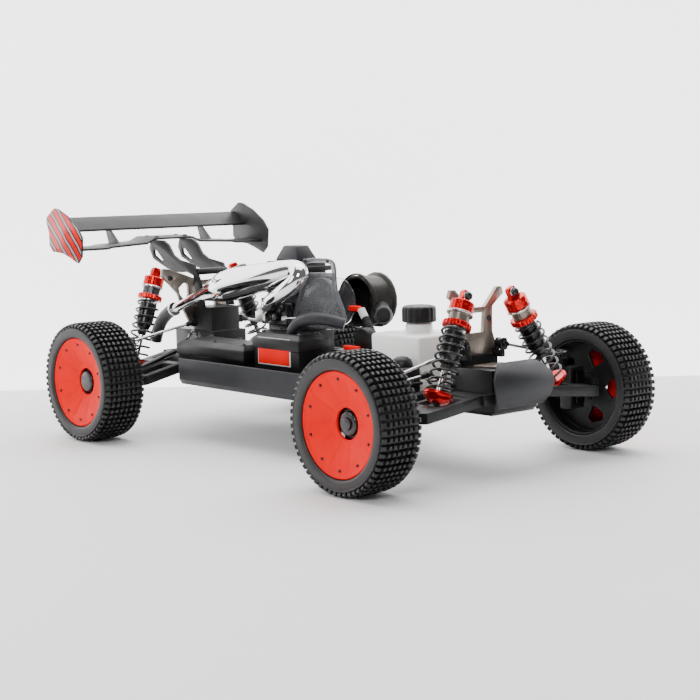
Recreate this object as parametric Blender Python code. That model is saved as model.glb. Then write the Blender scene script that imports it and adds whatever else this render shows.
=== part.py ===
"""Fifth-scale petrol off-road buggy, modelled as the separate pieces it is assembled from.

Units are metres. The car frame has X forward, Y to the car's left and Z up, with its origin
midway between the axles at axle height. The root empty carries that frame to its place on the
floor, so the whole car stands on Z = 0 with its overall box centred on X = 0 and Y = 0.
Left-hand pieces are drawn with side = 1 and right-hand pieces with side = -1.
"""

import math

import bpy
import bmesh
from mathutils import Matrix, Vector

# Overall sizes
WHEELBASE = 0.570
OVERALL_WIDTH = 0.489
TYRE_RADIUS = 0.085
FRONT_TYRE_WIDTH = 0.062
REAR_TYRE_WIDTH = 0.064
GROUND_DROP = 0.0075  # chassis underside below the axle line
PLATE_THICKNESS = 0.0035

# Fits
GAP = 0.0003  # between pieces that touch
RUNNING = 0.0003  # round a turning or sliding piece
LUG_ROOM = 0.0008  # each side of a swinging lug
WELD = 0.00002  # points closer than this are one point

# Wheels and tyres
BEAD_RADIUS = 0.064
TYRE_SHOULDER = 0.006
RIM_WALL = 0.0032
RIM_SHORTFALL = 0.004  # each edge of the rim inside the tyre's width
WEB_THICKNESS = 0.004
WEB_INSET = 0.004  # web's outer face inboard of the wheel's middle
HUB_RADIUS = 0.018
HUB_INNER = 0.014
HUB_OUTER = 0.006
AXLE_RADIUS = 0.008
AXLE_SHOULDER_RADIUS = 0.0115
AXLE_STUB = 0.014  # axle end outboard of the wheel's middle
DISH_HOLE_RADIUS = 0.019
DISH_DEPTH = 0.0155
DISH_THICKNESS = 0.003
WINDOW_COUNT = 5
WINDOW_INNER_RADIUS = 0.027
WINDOW_OUTER_RADIUS = 0.050
WHEEL_SIDES = 24

# Front suspension: X from the front axle line, insets from the wheel's middle plane
FRONT_ARM_INNER = (0.050, 0.014)
FRONT_ARM_OUTER_INSET = 0.0535
FRONT_ARM_OUTER_Z = 0.003
FRONT_ARM_BACK = -0.040
KINGPIN_INSET = 0.0355
CARRIER_HALF_LENGTH = 0.009
CARRIER_POST_LENGTH = 0.0095
KNUCKLE_HALF_WIDTH = 0.007
KNUCKLE_TOP_Z = 0.0235
KNUCKLE_BOTTOM_Z = -0.0195
EAR_THICKNESS = 0.006
STEERING_ARM_X = -0.034
FRONT_LINK_INNER = (0.033, 0.073)
FRONT_LINK_OUTER_Z = 0.046
TIE_ROD_INNER = (0.060, 0.0385)
TIE_ROD_OUTER_Z = 0.0275
STEERING_LINK_THICKNESS = 0.003

# Rear suspension: X from the rear axle line, insets from the wheel's middle plane
REAR_ARM_INNER = (0.045, 0.020)
REAR_ARM_OUTER_INSET = 0.0495
REAR_ARM_OUTER_Z = -0.005
REAR_ARM_FRONT = 0.045
REAR_CARRIER_INSET = 0.0415
REAR_CARRIER_WIDTH = 0.014
REAR_CARRIER_HALF_LENGTH = 0.015
REAR_LINK_X = 0.013
REAR_LINK_INNER = (0.044, 0.072)
REAR_LINK_OUTER_Z = 0.051
DRIVE_SHAFT_INNER = (0.0405, 0.038)
DRIVE_SHAFT_OUTER_INSET = 0.042
DRIVE_SHAFT_RADIUS = 0.004
SHAFT_ROOM = 0.004  # groove in the arm round the drive shaft
DRIVE_BALL_RADIUS = 0.0058
DRIVE_SOCKET_RADIUS = 0.0085

# Arms, links and lugs common to both ends
ARM_THICKNESS = 0.013
ARM_BARREL_RADIUS = 0.0065
ARM_EAR = 0.007
LUG_HALF_LENGTH = 0.018
LUG_RADIUS = 0.006
LINK_RADIUS = 0.003
BALL_END_RADIUS = 0.0062
BALL_END_LENGTH = 0.0075
BALL_TILT_ROOM = 0.0024  # under a ball end that rocks with its rod
SEAT_ROOM = 0.0015  # round a spring seat in its pocket
SEAT_LEAN = 0.010  # how far inboard of the eye the leaning seat sits
SEAT_WALL = 0.005  # arm left beside a spring seat's pocket
WINDOW_LEAST = 0.004  # narrower windows are left out of an arm
LINK_ROOM = 0.00075  # beside a ball end on its post
EYE_ROOM = 0.012

# Shock absorbers: eye places from the axle line, lengths from the upper eye
FRONT_SHOCK_TOP = (0.013, 0.0415, 0.138)
FRONT_FOOT_X = 0.029
FRONT_FOOT_SHARE = 61 / 110  # of the way from the arm's inner pin to its outer one
REAR_SHOCK_TOP = (-0.039, 0.0735, 0.1475)
REAR_FOOT_X = -0.029
REAR_FOOT_SHARE = 82 / 118
SHOCK_EYE_RADIUS = 0.0066
SHOCK_EYE_LENGTH = 0.008
SHOCK_CAP_START = 0.008
SHOCK_CAP_END = 0.023
SHOCK_CAP_RADIUS = 0.0152
SHOCK_BODY_RADIUS = 0.0130
SHOCK_COLLAR_START = 0.036
SHOCK_COLLAR_END = 0.044
SHOCK_COLLAR_RADIUS = 0.0185
SHOCK_BODY_END = 0.080
SHOCK_NOSE_END = 0.090
SHOCK_NOSE_RADIUS = 0.0095
SHOCK_ROD_RADIUS = 0.0040
SHOCK_BORE_TOP = 0.046
SHOCK_ROD_TOP = 0.074
SHOCK_SEAT_RADIUS = 0.0185
SHOCK_SEAT_HEIGHT = 0.004
SHOCK_SEAT_UP = 0.0185  # seat's upper face above the lower eye
SPRING_WIRE_RADIUS = 0.0015
SPRING_TURNS = 6.5
SPRING_STEPS = 8
SPRING_SIDES = 4

# Chassis, body frame and drive train
CHASSIS_HALF_WIDTH = 0.112
CHASSIS_NOSE_HALF_WIDTH = 0.038
CHASSIS_WAIST_X = 0.084
CHASSIS_HIP_X = -0.205
GUARD_OUTER_Y = 0.120
GUARD_TOP_Z = 0.030
GUARD_WALL = 0.0035
BULKHEAD_HALF_WIDTH = 0.038
BULKHEAD_TOP_Z = 0.048
HINGE_PLATE = 0.004
BUMPER_THICKNESS = 0.0035
BUMPER_MOUNT_X = 0.0705  # bumper's inner face at its mounting
TOWER_THICKNESS = 0.006
FRONT_TOWER_X = -0.010
REAR_TOWER_X = -0.015
TOWER_FOOT_Z = 0.060
GEARBOX_HALF_WIDTH = 0.030
GEARBOX_STEP_Z = 0.059
GEARBOX_TOP_Z = 0.094
BRACKET_Y = 0.027
BRACKET_THICKNESS = 0.004
WING_HALF_SPAN = 0.1765
WING_REAR = 0.180  # rearmost point behind the rear axle line
END_PLATE_THICKNESS = 0.003
BLADE_THICKNESS = 0.003
ENGINE_X = -0.078
ENGINE_HALF_LENGTH = 0.040
ENGINE_HALF_WIDTH = 0.034
CRANKCASE_TOP_Z = 0.070
CYLINDER_TOP_Z = 0.168
FIN_COUNT = 6
FIN_DEPTH = 0.007
MUFFLER_Y = -0.060
DRUM_X = 0.018
DRUM_Y = 0.028
DRUM_Z = 0.113
DRUM_RADIUS = 0.036
DRUM_LENGTH = 0.042
TANK_X = -0.112  # from the front axle line
TANK_HALF_LENGTH = 0.046
TANK_HALF_WIDTH = 0.044
TANK_TOP_Z = 0.082
NECK_RADIUS = 0.018
CAP_BOTTOM_Z = 0.0955
CAP_HEIGHT = 0.022
CAP_RADIUS = 0.023
BATTERY_X = (-0.230, -0.073)
BATTERY_Y = (-0.102, -0.040)
BATTERY_TOP_Z = 0.055
RADIO_X = (-0.055, 0.042)
RADIO_Y = (-0.097, -0.046)
RADIO_TOP_Z = 0.076

# Places worked out from the sizes above
FRONT_X = WHEELBASE / 2
REAR_X = -WHEELBASE / 2
DECK_Z = -GROUND_DROP + PLATE_THICKNESS + GAP
FRONT_WHEEL_Y = (OVERALL_WIDTH - FRONT_TYRE_WIDTH) / 2
REAR_WHEEL_Y = (OVERALL_WIDTH - REAR_TYRE_WIDTH) / 2
FRONT_ARM_OUTER_Y = FRONT_WHEEL_Y - FRONT_ARM_OUTER_INSET
REAR_ARM_OUTER_Y = REAR_WHEEL_Y - REAR_ARM_OUTER_INSET
KINGPIN_Y = FRONT_WHEEL_Y - KINGPIN_INSET
FRONT_ARM_FRONT = FRONT_FOOT_X + SHOCK_SEAT_RADIUS + SEAT_ROOM + SEAT_WALL
FRONT_ARM_CORNER = FRONT_ARM_FRONT + 0.006
REAR_ARM_BACK = REAR_FOOT_X - SHOCK_SEAT_RADIUS - SEAT_ROOM - SEAT_WALL
FRONT_SHOCK_FOOT = (
    FRONT_FOOT_X,
    FRONT_ARM_INNER[0] + FRONT_FOOT_SHARE * (FRONT_ARM_OUTER_Y - FRONT_ARM_INNER[0]),
)
REAR_SHOCK_FOOT = (
    REAR_FOOT_X,
    REAR_ARM_INNER[0] + REAR_FOOT_SHARE * (REAR_ARM_OUTER_Y - REAR_ARM_INNER[0]),
)
FRONT_LINK_X = FRONT_SHOCK_TOP[0] - SHOCK_SEAT_RADIUS + LINK_RADIUS + 0.0045
CARRIER_POST_FRONT = FRONT_LINK_X - BALL_END_LENGTH / 2 - LINK_ROOM
CARRIER_POST = (CARRIER_POST_FRONT - CARRIER_POST_LENGTH, CARRIER_POST_FRONT)
WING_REAR_X = REAR_X - WING_REAR
ROOT_PLACE = Vector((-(FRONT_X + TYRE_RADIUS + WING_REAR_X) / 2, 0.0, TYRE_RADIUS))


# ---------------------------------------------------------------- materials and placing


def clear_scene():
    """Remove every object already in the file."""
    for obj in list(bpy.data.objects):
        bpy.data.objects.remove(obj)


def paint(name, colour, roughness, metallic=0.0, alpha=1.0):
    """Return a Principled material, making it the first time it is asked for."""
    if name in bpy.data.materials:
        return bpy.data.materials[name]
    material = bpy.data.materials.new(name)
    material.use_nodes = True
    shader = material.node_tree.nodes["Principled BSDF"]
    shader.inputs["Base Color"].default_value = (*colour, 1.0)
    shader.inputs["Roughness"].default_value = roughness
    shader.inputs["Metallic"].default_value = metallic
    shader.inputs["Alpha"].default_value = alpha
    return material


def tyre_rubber():
    """Black tyre rubber."""
    return paint("tyre_rubber", (0.02, 0.02, 0.02), 0.85)


def red_nylon():
    """Bright red wheel nylon."""
    return paint("red_nylon", (0.80, 0.04, 0.02), 0.40)


def red_anodised():
    """Red anodised aluminium."""
    return paint("red_anodised", (0.70, 0.03, 0.02), 0.30, 1.0)


def silver_alloy():
    """Machined aluminium."""
    return paint("silver_alloy", (0.75, 0.74, 0.71), 0.32, 1.0)


def tower_alloy():
    """Champagne-grey brushed aluminium."""
    return paint("tower_alloy", (0.46, 0.42, 0.39), 0.40, 1.0)


def black_plastic():
    """Satin black glass-filled nylon."""
    return paint("black_plastic", (0.025, 0.025, 0.027), 0.50)


def slate_plastic():
    """Dark blue-grey matt plastic of the bumper and side guards."""
    return paint("slate_plastic", (0.075, 0.080, 0.092), 0.55)


def spring_steel():
    """Black coated spring wire."""
    return paint("spring_steel", (0.03, 0.03, 0.03), 0.30, 0.6)


def dark_steel():
    """Dark drive-train steel."""
    return paint("dark_steel", (0.12, 0.12, 0.13), 0.35, 1.0)


def engine_alloy():
    """Cast engine aluminium."""
    return paint("engine_alloy", (0.35, 0.35, 0.36), 0.50, 1.0)


def bright_chrome():
    """Chrome of the exhaust."""
    return paint("bright_chrome", (0.88, 0.88, 0.88), 0.08, 1.0)


def smoked_clear():
    """Smoky clear plastic of the engine guard."""
    return paint("smoked_clear", (0.60, 0.62, 0.65), 0.10, 0.0, 0.35)


def tank_white():
    """Translucent white tank plastic."""
    return paint("tank_white", (0.85, 0.85, 0.82), 0.40)


class Body:
    """A rigid body: an empty on its joint, which carries the body's pieces."""

    def __init__(self, name, place, parent=None):
        """Put the empty at place, given in the car frame, under the parent body."""
        self.place = Vector(place)
        self.empty = bpy.data.objects.new(name, None)
        bpy.context.collection.objects.link(self.empty)
        if parent is None:
            self.empty.location = ROOT_PLACE + self.place
        else:
            self.empty.parent = parent.empty
            self.empty.location = self.place - parent.place

    def add(self, obj, name, material):
        """Name a piece drawn in the car frame and hang it from this body's empty."""
        obj.name = name
        obj.data.name = name
        obj.data.materials.clear()
        obj.data.materials.append(material)
        obj.data.transform(Matrix.Translation(-self.place))
        obj.parent = self.empty
        return obj


# ---------------------------------------------------------------- solid building


def solid(bm):
    """Turn a bmesh into an object with its faces pointing out."""
    bmesh.ops.remove_doubles(bm, verts=bm.verts, dist=1e-6)
    bmesh.ops.dissolve_degenerate(bm, edges=bm.edges, dist=1e-6)
    bmesh.ops.recalc_face_normals(bm, faces=bm.faces)
    mesh = bpy.data.meshes.new("solid")
    bm.to_mesh(mesh)
    bm.free()
    obj = bpy.data.objects.new("solid", mesh)
    bpy.context.collection.objects.link(obj)
    return obj


def combine(base, others, operation="UNION"):
    """Add the other solids to the base, or cut them from it, and keep the one result."""
    for other in others:
        step = base.modifiers.new("combine", "BOOLEAN")
        step.operation = operation
        step.object = other
    graph = bpy.context.evaluated_depsgraph_get()
    mesh = bpy.data.meshes.new_from_object(base.evaluated_get(graph))
    base.modifiers.clear()
    base.data = mesh
    for other in others:
        bpy.data.objects.remove(other)
    return base


def tidied(obj):
    """Weld the slivers that a Boolean leaves along crossing edges."""
    bm = bmesh.new()
    bm.from_mesh(obj.data)
    bmesh.ops.remove_doubles(bm, verts=bm.verts, dist=WELD)
    bmesh.ops.dissolve_degenerate(bm, edges=bm.edges, dist=WELD)
    bm.to_mesh(obj.data)
    bm.free()
    return obj


def rounded(obj, angle=35):
    """Shade the round faces smooth and keep the edges sharper than the angle."""
    obj.data.shade_smooth()
    obj.data.set_sharp_from_angle(angle=math.radians(angle))
    return obj


def loft(rings):
    """Join rings with equal point counts into one closed solid, capped at both ends."""
    bm = bmesh.new()
    loops = [[bm.verts.new(point) for point in ring] for ring in rings]
    count = len(loops[0])
    for near, far in zip(loops, loops[1:]):
        for i in range(count):
            j = (i + 1) % count
            bm.faces.new((near[i], near[j], far[j], far[i]))
    bm.faces.new(loops[0])
    bm.faces.new(loops[-1])
    return solid(bm)


def block(low, high):
    """Rectangular solid between two corners."""
    x0, y0, z0 = low
    x1, y1, z1 = high
    ring = ((x0, y0), (x1, y0), (x1, y1), (x0, y1))
    return loft([[(x, y, z) for x, y in ring] for z in (z0, z1)])


def side_block(x_range, y_range, z_range, side):
    """Rectangular solid whose Y limits are distances out from the centreline."""
    low_y, high_y = sorted(side * y for y in y_range)
    return block((x_range[0], low_y, z_range[0]), (x_range[1], high_y, z_range[1]))


def extrusion(outlines, place, start, end):
    """Extrude a flat outline, with any holes after it, from one station to another.

    place turns an outline's two numbers and a station into a point.
    """
    bm = bmesh.new()
    edges = []
    for outline in outlines:
        verts = [bm.verts.new(place(u, v, start)) for u, v in outline]
        for i, vert in enumerate(verts):
            edges.append(bm.edges.new((vert, verts[(i + 1) % len(verts)])))
    bmesh.ops.triangle_fill(bm, edges=edges, use_beauty=True, use_dissolve=False)
    shift = Vector(place(0, 0, end)) - Vector(place(0, 0, start))
    grown = bmesh.ops.extrude_face_region(bm, geom=bm.faces[:], use_keep_orig=True)
    moved = [item for item in grown["geom"] if isinstance(item, bmesh.types.BMVert)]
    bmesh.ops.translate(bm, verts=moved, vec=shift)
    return solid(bm)


def along_x(u, v, station):
    """Outline in Y and Z, extruded along X."""
    return (station, u, v)


def along_y(u, v, station):
    """Outline in X and Z, extruded along Y."""
    return (u, station, v)


def along_z(u, v, station):
    """Outline in X and Y, extruded along Z."""
    return (u, v, station)


def mirrored(half):
    """Complete an outline drawn from the centreline out and back, by its mirror in Y."""
    return list(half) + [(-y, z) for y, z in reversed(half) if y > 0]


def axis_frame(start, direction):
    """Matrix that puts a solid's own Z along a direction from a start point."""
    turn = Vector(direction).to_track_quat("Z", "Y").to_matrix().to_4x4()
    return Matrix.Translation(Vector(start)) @ turn


def turned(profile, start, direction, sides, closed=True):
    """Turn a profile of (radius, distance along) about an axis, with a flat facet down.

    A closed profile makes a ring, and an open one ends on the axis at both ends.
    """
    bm = bmesh.new()
    step = 2 * math.pi / sides
    frame = axis_frame(start, direction)
    loops = []
    for i in range(sides):
        angle = (i + 0.5) * step
        ring = [(r * math.cos(angle), r * math.sin(angle), a) for r, a in profile]
        loops.append([bm.verts.new(frame @ Vector(point)) for point in ring])
    count = len(profile)
    for i, loop in enumerate(loops):
        following = loops[(i + 1) % sides]
        for j in range(count if closed else count - 1):
            k = (j + 1) % count
            corners = (loop[j], loop[k], following[k], following[j])
            bm.faces.new(corners)
    return rounded(solid(bm))


def bar(start, end, radius, sides=8):
    """Round solid bar between two points."""
    length = (Vector(end) - Vector(start)).length
    profile = [(0, 0), (radius, 0), (radius, length), (0, length)]
    return turned(profile, start, Vector(end) - Vector(start), sides, closed=False)


def pipe(route, sides):
    """Round solid that follows points given as (x, y, z, radius)."""
    rings = []
    for i, (x, y, z, radius) in enumerate(route):
        before = Vector(route[max(i - 1, 0)][:3])
        after = Vector(route[min(i + 1, len(route) - 1)][:3])
        frame = axis_frame((x, y, z), after - before)
        ring = []
        for k in range(sides):
            angle = 2 * math.pi * k / sides
            ring.append(frame @ Vector((radius * math.cos(angle), radius * math.sin(angle), 0)))
        rings.append(ring)
    for ring, following in zip(rings, rings[1:]):
        turn = min(range(sides), key=lambda k: (ring[0] - following[k]).length)
        following[:] = following[turn:] + following[:turn]
    return rounded(loft(rings))


# ---------------------------------------------------------------- wheels


def make_tyre(centre, width, side):
    """Tyre: a rubber ring with chamfered shoulders."""
    half = width / 2
    wall = TYRE_RADIUS - TYRE_SHOULDER
    flat = 1 / math.cos(math.pi / WHEEL_SIDES)
    half_profile = [
        (BEAD_RADIUS, half - RIM_SHORTFALL),
        (BEAD_RADIUS + TYRE_SHOULDER, half),
        (wall, half),
        (TYRE_RADIUS, half - TYRE_SHOULDER),
    ]
    profile = half_profile + [(r, -a) for r, a in reversed(half_profile)]
    profile = [(r * flat, a) for r, a in profile]
    return turned(profile, centre, (0, side, 0), WHEEL_SIDES)


def make_wheel(centre, width, side):
    """Wheel: a barrel with a windowed web inside and a concave dish cover outside."""
    flat = 1 / math.cos(math.pi / WHEEL_SIDES)
    outer = BEAD_RADIUS - GAP
    inner = outer - RIM_WALL
    edge = width / 2 - RIM_SHORTFALL
    web = -WEB_INSET
    dish_foot = edge - DISH_DEPTH
    middle = (inner + DISH_HOLE_RADIUS) / 2
    middle_depth = dish_foot + DISH_DEPTH * 0.36
    bore = AXLE_RADIUS + RUNNING
    profile = [
        (bore, -HUB_INNER),
        (HUB_RADIUS, -HUB_INNER),
        (HUB_RADIUS, web - WEB_THICKNESS),
        (inner, web - WEB_THICKNESS),
        (inner, -edge),
        (outer, -edge),
        (outer, edge),
        (middle, middle_depth),
        (DISH_HOLE_RADIUS, dish_foot),
        (DISH_HOLE_RADIUS, dish_foot - DISH_THICKNESS),
        (middle, middle_depth - DISH_THICKNESS),
        (inner, edge - DISH_THICKNESS * 2),
        (inner, web),
        (HUB_RADIUS, web),
        (HUB_RADIUS, HUB_OUTER),
        (bore, HUB_OUTER),
    ]
    profile = [(r * flat, a) for r, a in profile]
    wheel = turned(profile, centre, (0, side, 0), WHEEL_SIDES)
    cutters = []
    for i in range(WINDOW_COUNT):
        cutters.append(make_window(centre, side, 2 * math.pi * i / WINDOW_COUNT))
    return rounded(combine(wheel, cutters, "DIFFERENCE"))


def make_window(centre, side, angle):
    """Kite-shaped cutter for one window in a wheel's web."""
    spread = 0.32
    middle = (WINDOW_INNER_RADIUS + WINDOW_OUTER_RADIUS * 1.6) / 2.6
    points = (
        (WINDOW_INNER_RADIUS, angle),
        (middle, angle + spread),
        (WINDOW_OUTER_RADIUS, angle + spread * 0.6),
        (WINDOW_OUTER_RADIUS, angle - spread * 0.6),
        (middle, angle - spread),
    )
    outline = [(centre[0] + r * math.cos(a), centre[2] + r * math.sin(a)) for r, a in points]
    inner_y = centre[1] - side * (WEB_INSET + WEB_THICKNESS * 1.5)
    outer_y = centre[1] - side * (WEB_INSET - WEB_THICKNESS * 0.5)
    return extrusion([outline], along_y, inner_y, outer_y)


def add_wheel(parent, corner, x, y, width, side):
    """One turning wheel with its tyre, on the axle line."""
    centre = (x, side * y, 0)
    body = Body(f"{corner}_wheel_spin", centre, parent)
    body.add(make_tyre(centre, width, side), f"{corner}_tyre", tyre_rubber())
    body.add(make_wheel(centre, width, side), f"{corner}_wheel", red_nylon())


# ---------------------------------------------------------------- suspension pieces


def arm_height(y, inner, outer):
    """Height of an arm's middle at a distance out from the centreline."""
    slope = (outer[1] - inner[1]) / (outer[0] - inner[0])
    return inner[1] + slope * (y - inner[0])


def make_arm(outline, holes, x_inner, inner, outer, side):
    """Lower arm: a flat casting that falls from its inner barrel to its outer ears."""
    outlines = [[(x, side * y) for x, y in ring] for ring in [outline] + holes]
    arm = extrusion(outlines, along_z, -ARM_THICKNESS / 2, ARM_THICKNESS / 2)
    for vert in arm.data.vertices:
        vert.co.z += arm_height(abs(vert.co.y), inner, outer)
    near = (x_inner[0] - GAP, side * inner[0], inner[1])
    far = (x_inner[1] + GAP, side * inner[0], inner[1])
    return combine(arm, [bar(near, far, ARM_BARREL_RADIUS, 12)])


def ear_outline(x, back, outer_y):
    """Outer end of an arm, front to back: two ears with a slot for the carrier's lug."""
    slot = LUG_HALF_LENGTH + LUG_ROOM
    ear = slot + ARM_EAR
    floor = outer_y - LUG_RADIUS - LUG_ROOM
    tip = outer_y + ARM_BARREL_RADIUS
    return [
        (x + ear, tip),
        (x + slot, tip),
        (x + slot, floor),
        (x - slot, floor),
        (x - slot, tip),
        (x - ear, tip),
        (x + back, outer_y - 0.020),
    ]


def rectangle(x_range, y_range):
    """Four corners of a rectangular hole."""
    near_y, far_y = y_range
    low_x, high_x = x_range
    return [(low_x, near_y), (high_x, near_y), (high_x, far_y), (low_x, far_y)]


def roomy(windows):
    """Windows that have room between the ribs round them."""
    kept = []
    for window in windows:
        low, high = window[0], window[2]
        if high[0] - low[0] > WINDOW_LEAST and high[1] - low[1] > WINDOW_LEAST:
            kept.append(window)
    return kept


def shock_pocket(foot_x, foot_y):
    """Limits of the opening in an arm that clears the tilted spring seat above the eye."""
    reach = SHOCK_SEAT_RADIUS + SEAT_ROOM
    return (foot_x - reach, foot_x + reach), (foot_y - reach - SEAT_LEAN, foot_y + EYE_ROOM)


def make_front_arm(side):
    """Front lower arm with its shock pocket and two lightening windows."""
    inner_y = FRONT_ARM_INNER[0]
    outer = (FRONT_ARM_OUTER_Y, FRONT_ARM_OUTER_Z)
    back = FRONT_X + FRONT_ARM_BACK
    front = FRONT_X + FRONT_ARM_FRONT
    corner = FRONT_X + FRONT_ARM_CORNER
    foot_x = FRONT_X + FRONT_SHOCK_FOOT[0]
    foot_y = FRONT_SHOCK_FOOT[1]
    ears = ear_outline(FRONT_X, FRONT_ARM_BACK * 0.8, outer[0])
    outline = [(back, inner_y), (front, inner_y), (corner, outer[0] - 0.040)]
    outline += [(corner + 0.001, outer[0] - 0.006), (corner - 0.014, outer[0])] + ears
    pocket_x, pocket_y = shock_pocket(foot_x, foot_y)
    inner_window = rectangle((back + 0.014, front - 0.014), (inner_y + 0.012, pocket_y[0] - 0.006))
    outer_window = rectangle(
        (back + 0.016, pocket_x[0] - 0.007), (pocket_y[0], outer[0] - LUG_RADIUS - 0.011)
    )
    holes = [rectangle(pocket_x, pocket_y)] + roomy((inner_window, outer_window))
    return make_arm(outline, holes, (back, front), FRONT_ARM_INNER, outer, side)


def make_rear_arm(side):
    """Rear lower arm with its shock pocket at the back and two lightening windows."""
    inner_y = REAR_ARM_INNER[0]
    outer = (REAR_ARM_OUTER_Y, REAR_ARM_OUTER_Z)
    back = REAR_X + REAR_ARM_BACK
    front = REAR_X + REAR_ARM_FRONT
    foot_x = REAR_X + REAR_SHOCK_FOOT[0]
    foot_y = REAR_SHOCK_FOOT[1]
    ears = ear_outline(REAR_X, REAR_ARM_BACK, outer[0])
    outline = [(back, inner_y), (front, inner_y), (front, outer[0] - 0.012)] + ears
    pocket_x, pocket_y = shock_pocket(foot_x, foot_y)
    inner_window = rectangle((back + 0.014, front - 0.014), (inner_y + 0.014, pocket_y[0] - 0.010))
    outer_window = rectangle(
        (pocket_x[1] + 0.008, front - 0.012), (pocket_y[0], outer[0] - LUG_RADIUS - 0.011)
    )
    holes = [rectangle(pocket_x, pocket_y)] + roomy((inner_window, outer_window))
    arm = make_arm(outline, holes, (back, front), REAR_ARM_INNER, outer, side)
    shaft_start = (REAR_X, side * DRIVE_SHAFT_INNER[0], DRIVE_SHAFT_INNER[1])
    shaft_end = (REAR_X, side * (REAR_WHEEL_Y - DRIVE_SHAFT_OUTER_INSET), 0)
    groove = bar(shaft_start, shaft_end, DRIVE_SHAFT_RADIUS + SHAFT_ROOM, 12)
    return tidied(combine(tidied(arm), [groove], "DIFFERENCE"))


def make_spindle_carrier(side):
    """C-shaped front carrier: lug on the arm, kingpin ears, and a post for the upper link."""
    lug_y = FRONT_ARM_OUTER_Y
    lug_z = FRONT_ARM_OUTER_Z
    web_y = (lug_y - 0.001, KINGPIN_Y - 0.0125)
    top = KNUCKLE_TOP_Z + GAP
    bottom = KNUCKLE_BOTTOM_Z - GAP
    x_range = (FRONT_X - CARRIER_HALF_LENGTH, FRONT_X + CARRIER_HALF_LENGTH)
    ear_y = (web_y[0], KINGPIN_Y + 0.008)
    lug = bar(
        (FRONT_X - LUG_HALF_LENGTH, side * lug_y, lug_z),
        (FRONT_X + LUG_HALF_LENGTH, side * lug_y, lug_z),
        LUG_RADIUS,
        12,
    )
    web = side_block(x_range, web_y, (bottom - EAR_THICKNESS, top + EAR_THICKNESS), side)
    upper_ear = side_block(x_range, ear_y, (top, top + EAR_THICKNESS), side)
    lower_ear = side_block(x_range, ear_y, (bottom - EAR_THICKNESS, bottom), side)
    post_x = [FRONT_X + x for x in CARRIER_POST]
    post_z = (top + EAR_THICKNESS * 0.4, FRONT_LINK_OUTER_Z + BALL_END_RADIUS)
    post = side_block(post_x, (web_y[0] - 0.004, web_y[1] - 0.001), post_z, side)
    return combine(lug, [web, upper_ear, lower_ear, post])


def make_knuckle(side):
    """Steering knuckle: block between the ears, stub axle and rearward steering arm."""
    low_y = KINGPIN_Y - KNUCKLE_HALF_WIDTH
    high_y = KINGPIN_Y + KNUCKLE_HALF_WIDTH + 0.002
    x_range = (FRONT_X - CARRIER_HALF_LENGTH, FRONT_X + CARRIER_HALF_LENGTH)
    core = side_block(x_range, (low_y, high_y), (KNUCKLE_BOTTOM_Z, KNUCKLE_TOP_Z), side)
    hub_face = FRONT_WHEEL_Y - HUB_INNER - GAP
    shoulder = bar(
        (FRONT_X, side * (high_y - 0.003), 0), (FRONT_X, side * hub_face, 0), AXLE_SHOULDER_RADIUS, 12
    )
    stub_end = FRONT_WHEEL_Y + AXLE_STUB
    stub = bar((FRONT_X, side * (hub_face - 0.002), 0), (FRONT_X, side * stub_end, 0), AXLE_RADIUS, 12)
    arm_top = TIE_ROD_OUTER_Z - BALL_END_LENGTH / 2 - BALL_TILT_ROOM
    arm_x = (FRONT_X + STEERING_ARM_X - 0.005, FRONT_X - CARRIER_HALF_LENGTH + 0.002)
    arm_y = (KINGPIN_Y - 0.008, KINGPIN_Y + 0.003)
    arm = side_block(arm_x, arm_y, (arm_top - 0.006, arm_top), side)
    return tidied(combine(core, [shoulder, stub, arm]))


def make_link(inner, outer, ball_axis):
    """Turnbuckle with a ball end at each end, whose rings lie across ball_axis."""
    inner = Vector(inner)
    outer = Vector(outer)
    half = Vector(ball_axis) * BALL_END_LENGTH / 2
    rings = [bar(end - half, end + half, BALL_END_RADIUS, 10) for end in (inner, outer)]
    rod = bar(inner, outer, LINK_RADIUS, 8)
    return rounded(combine(rings[0], [rod, rings[1]]))


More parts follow.
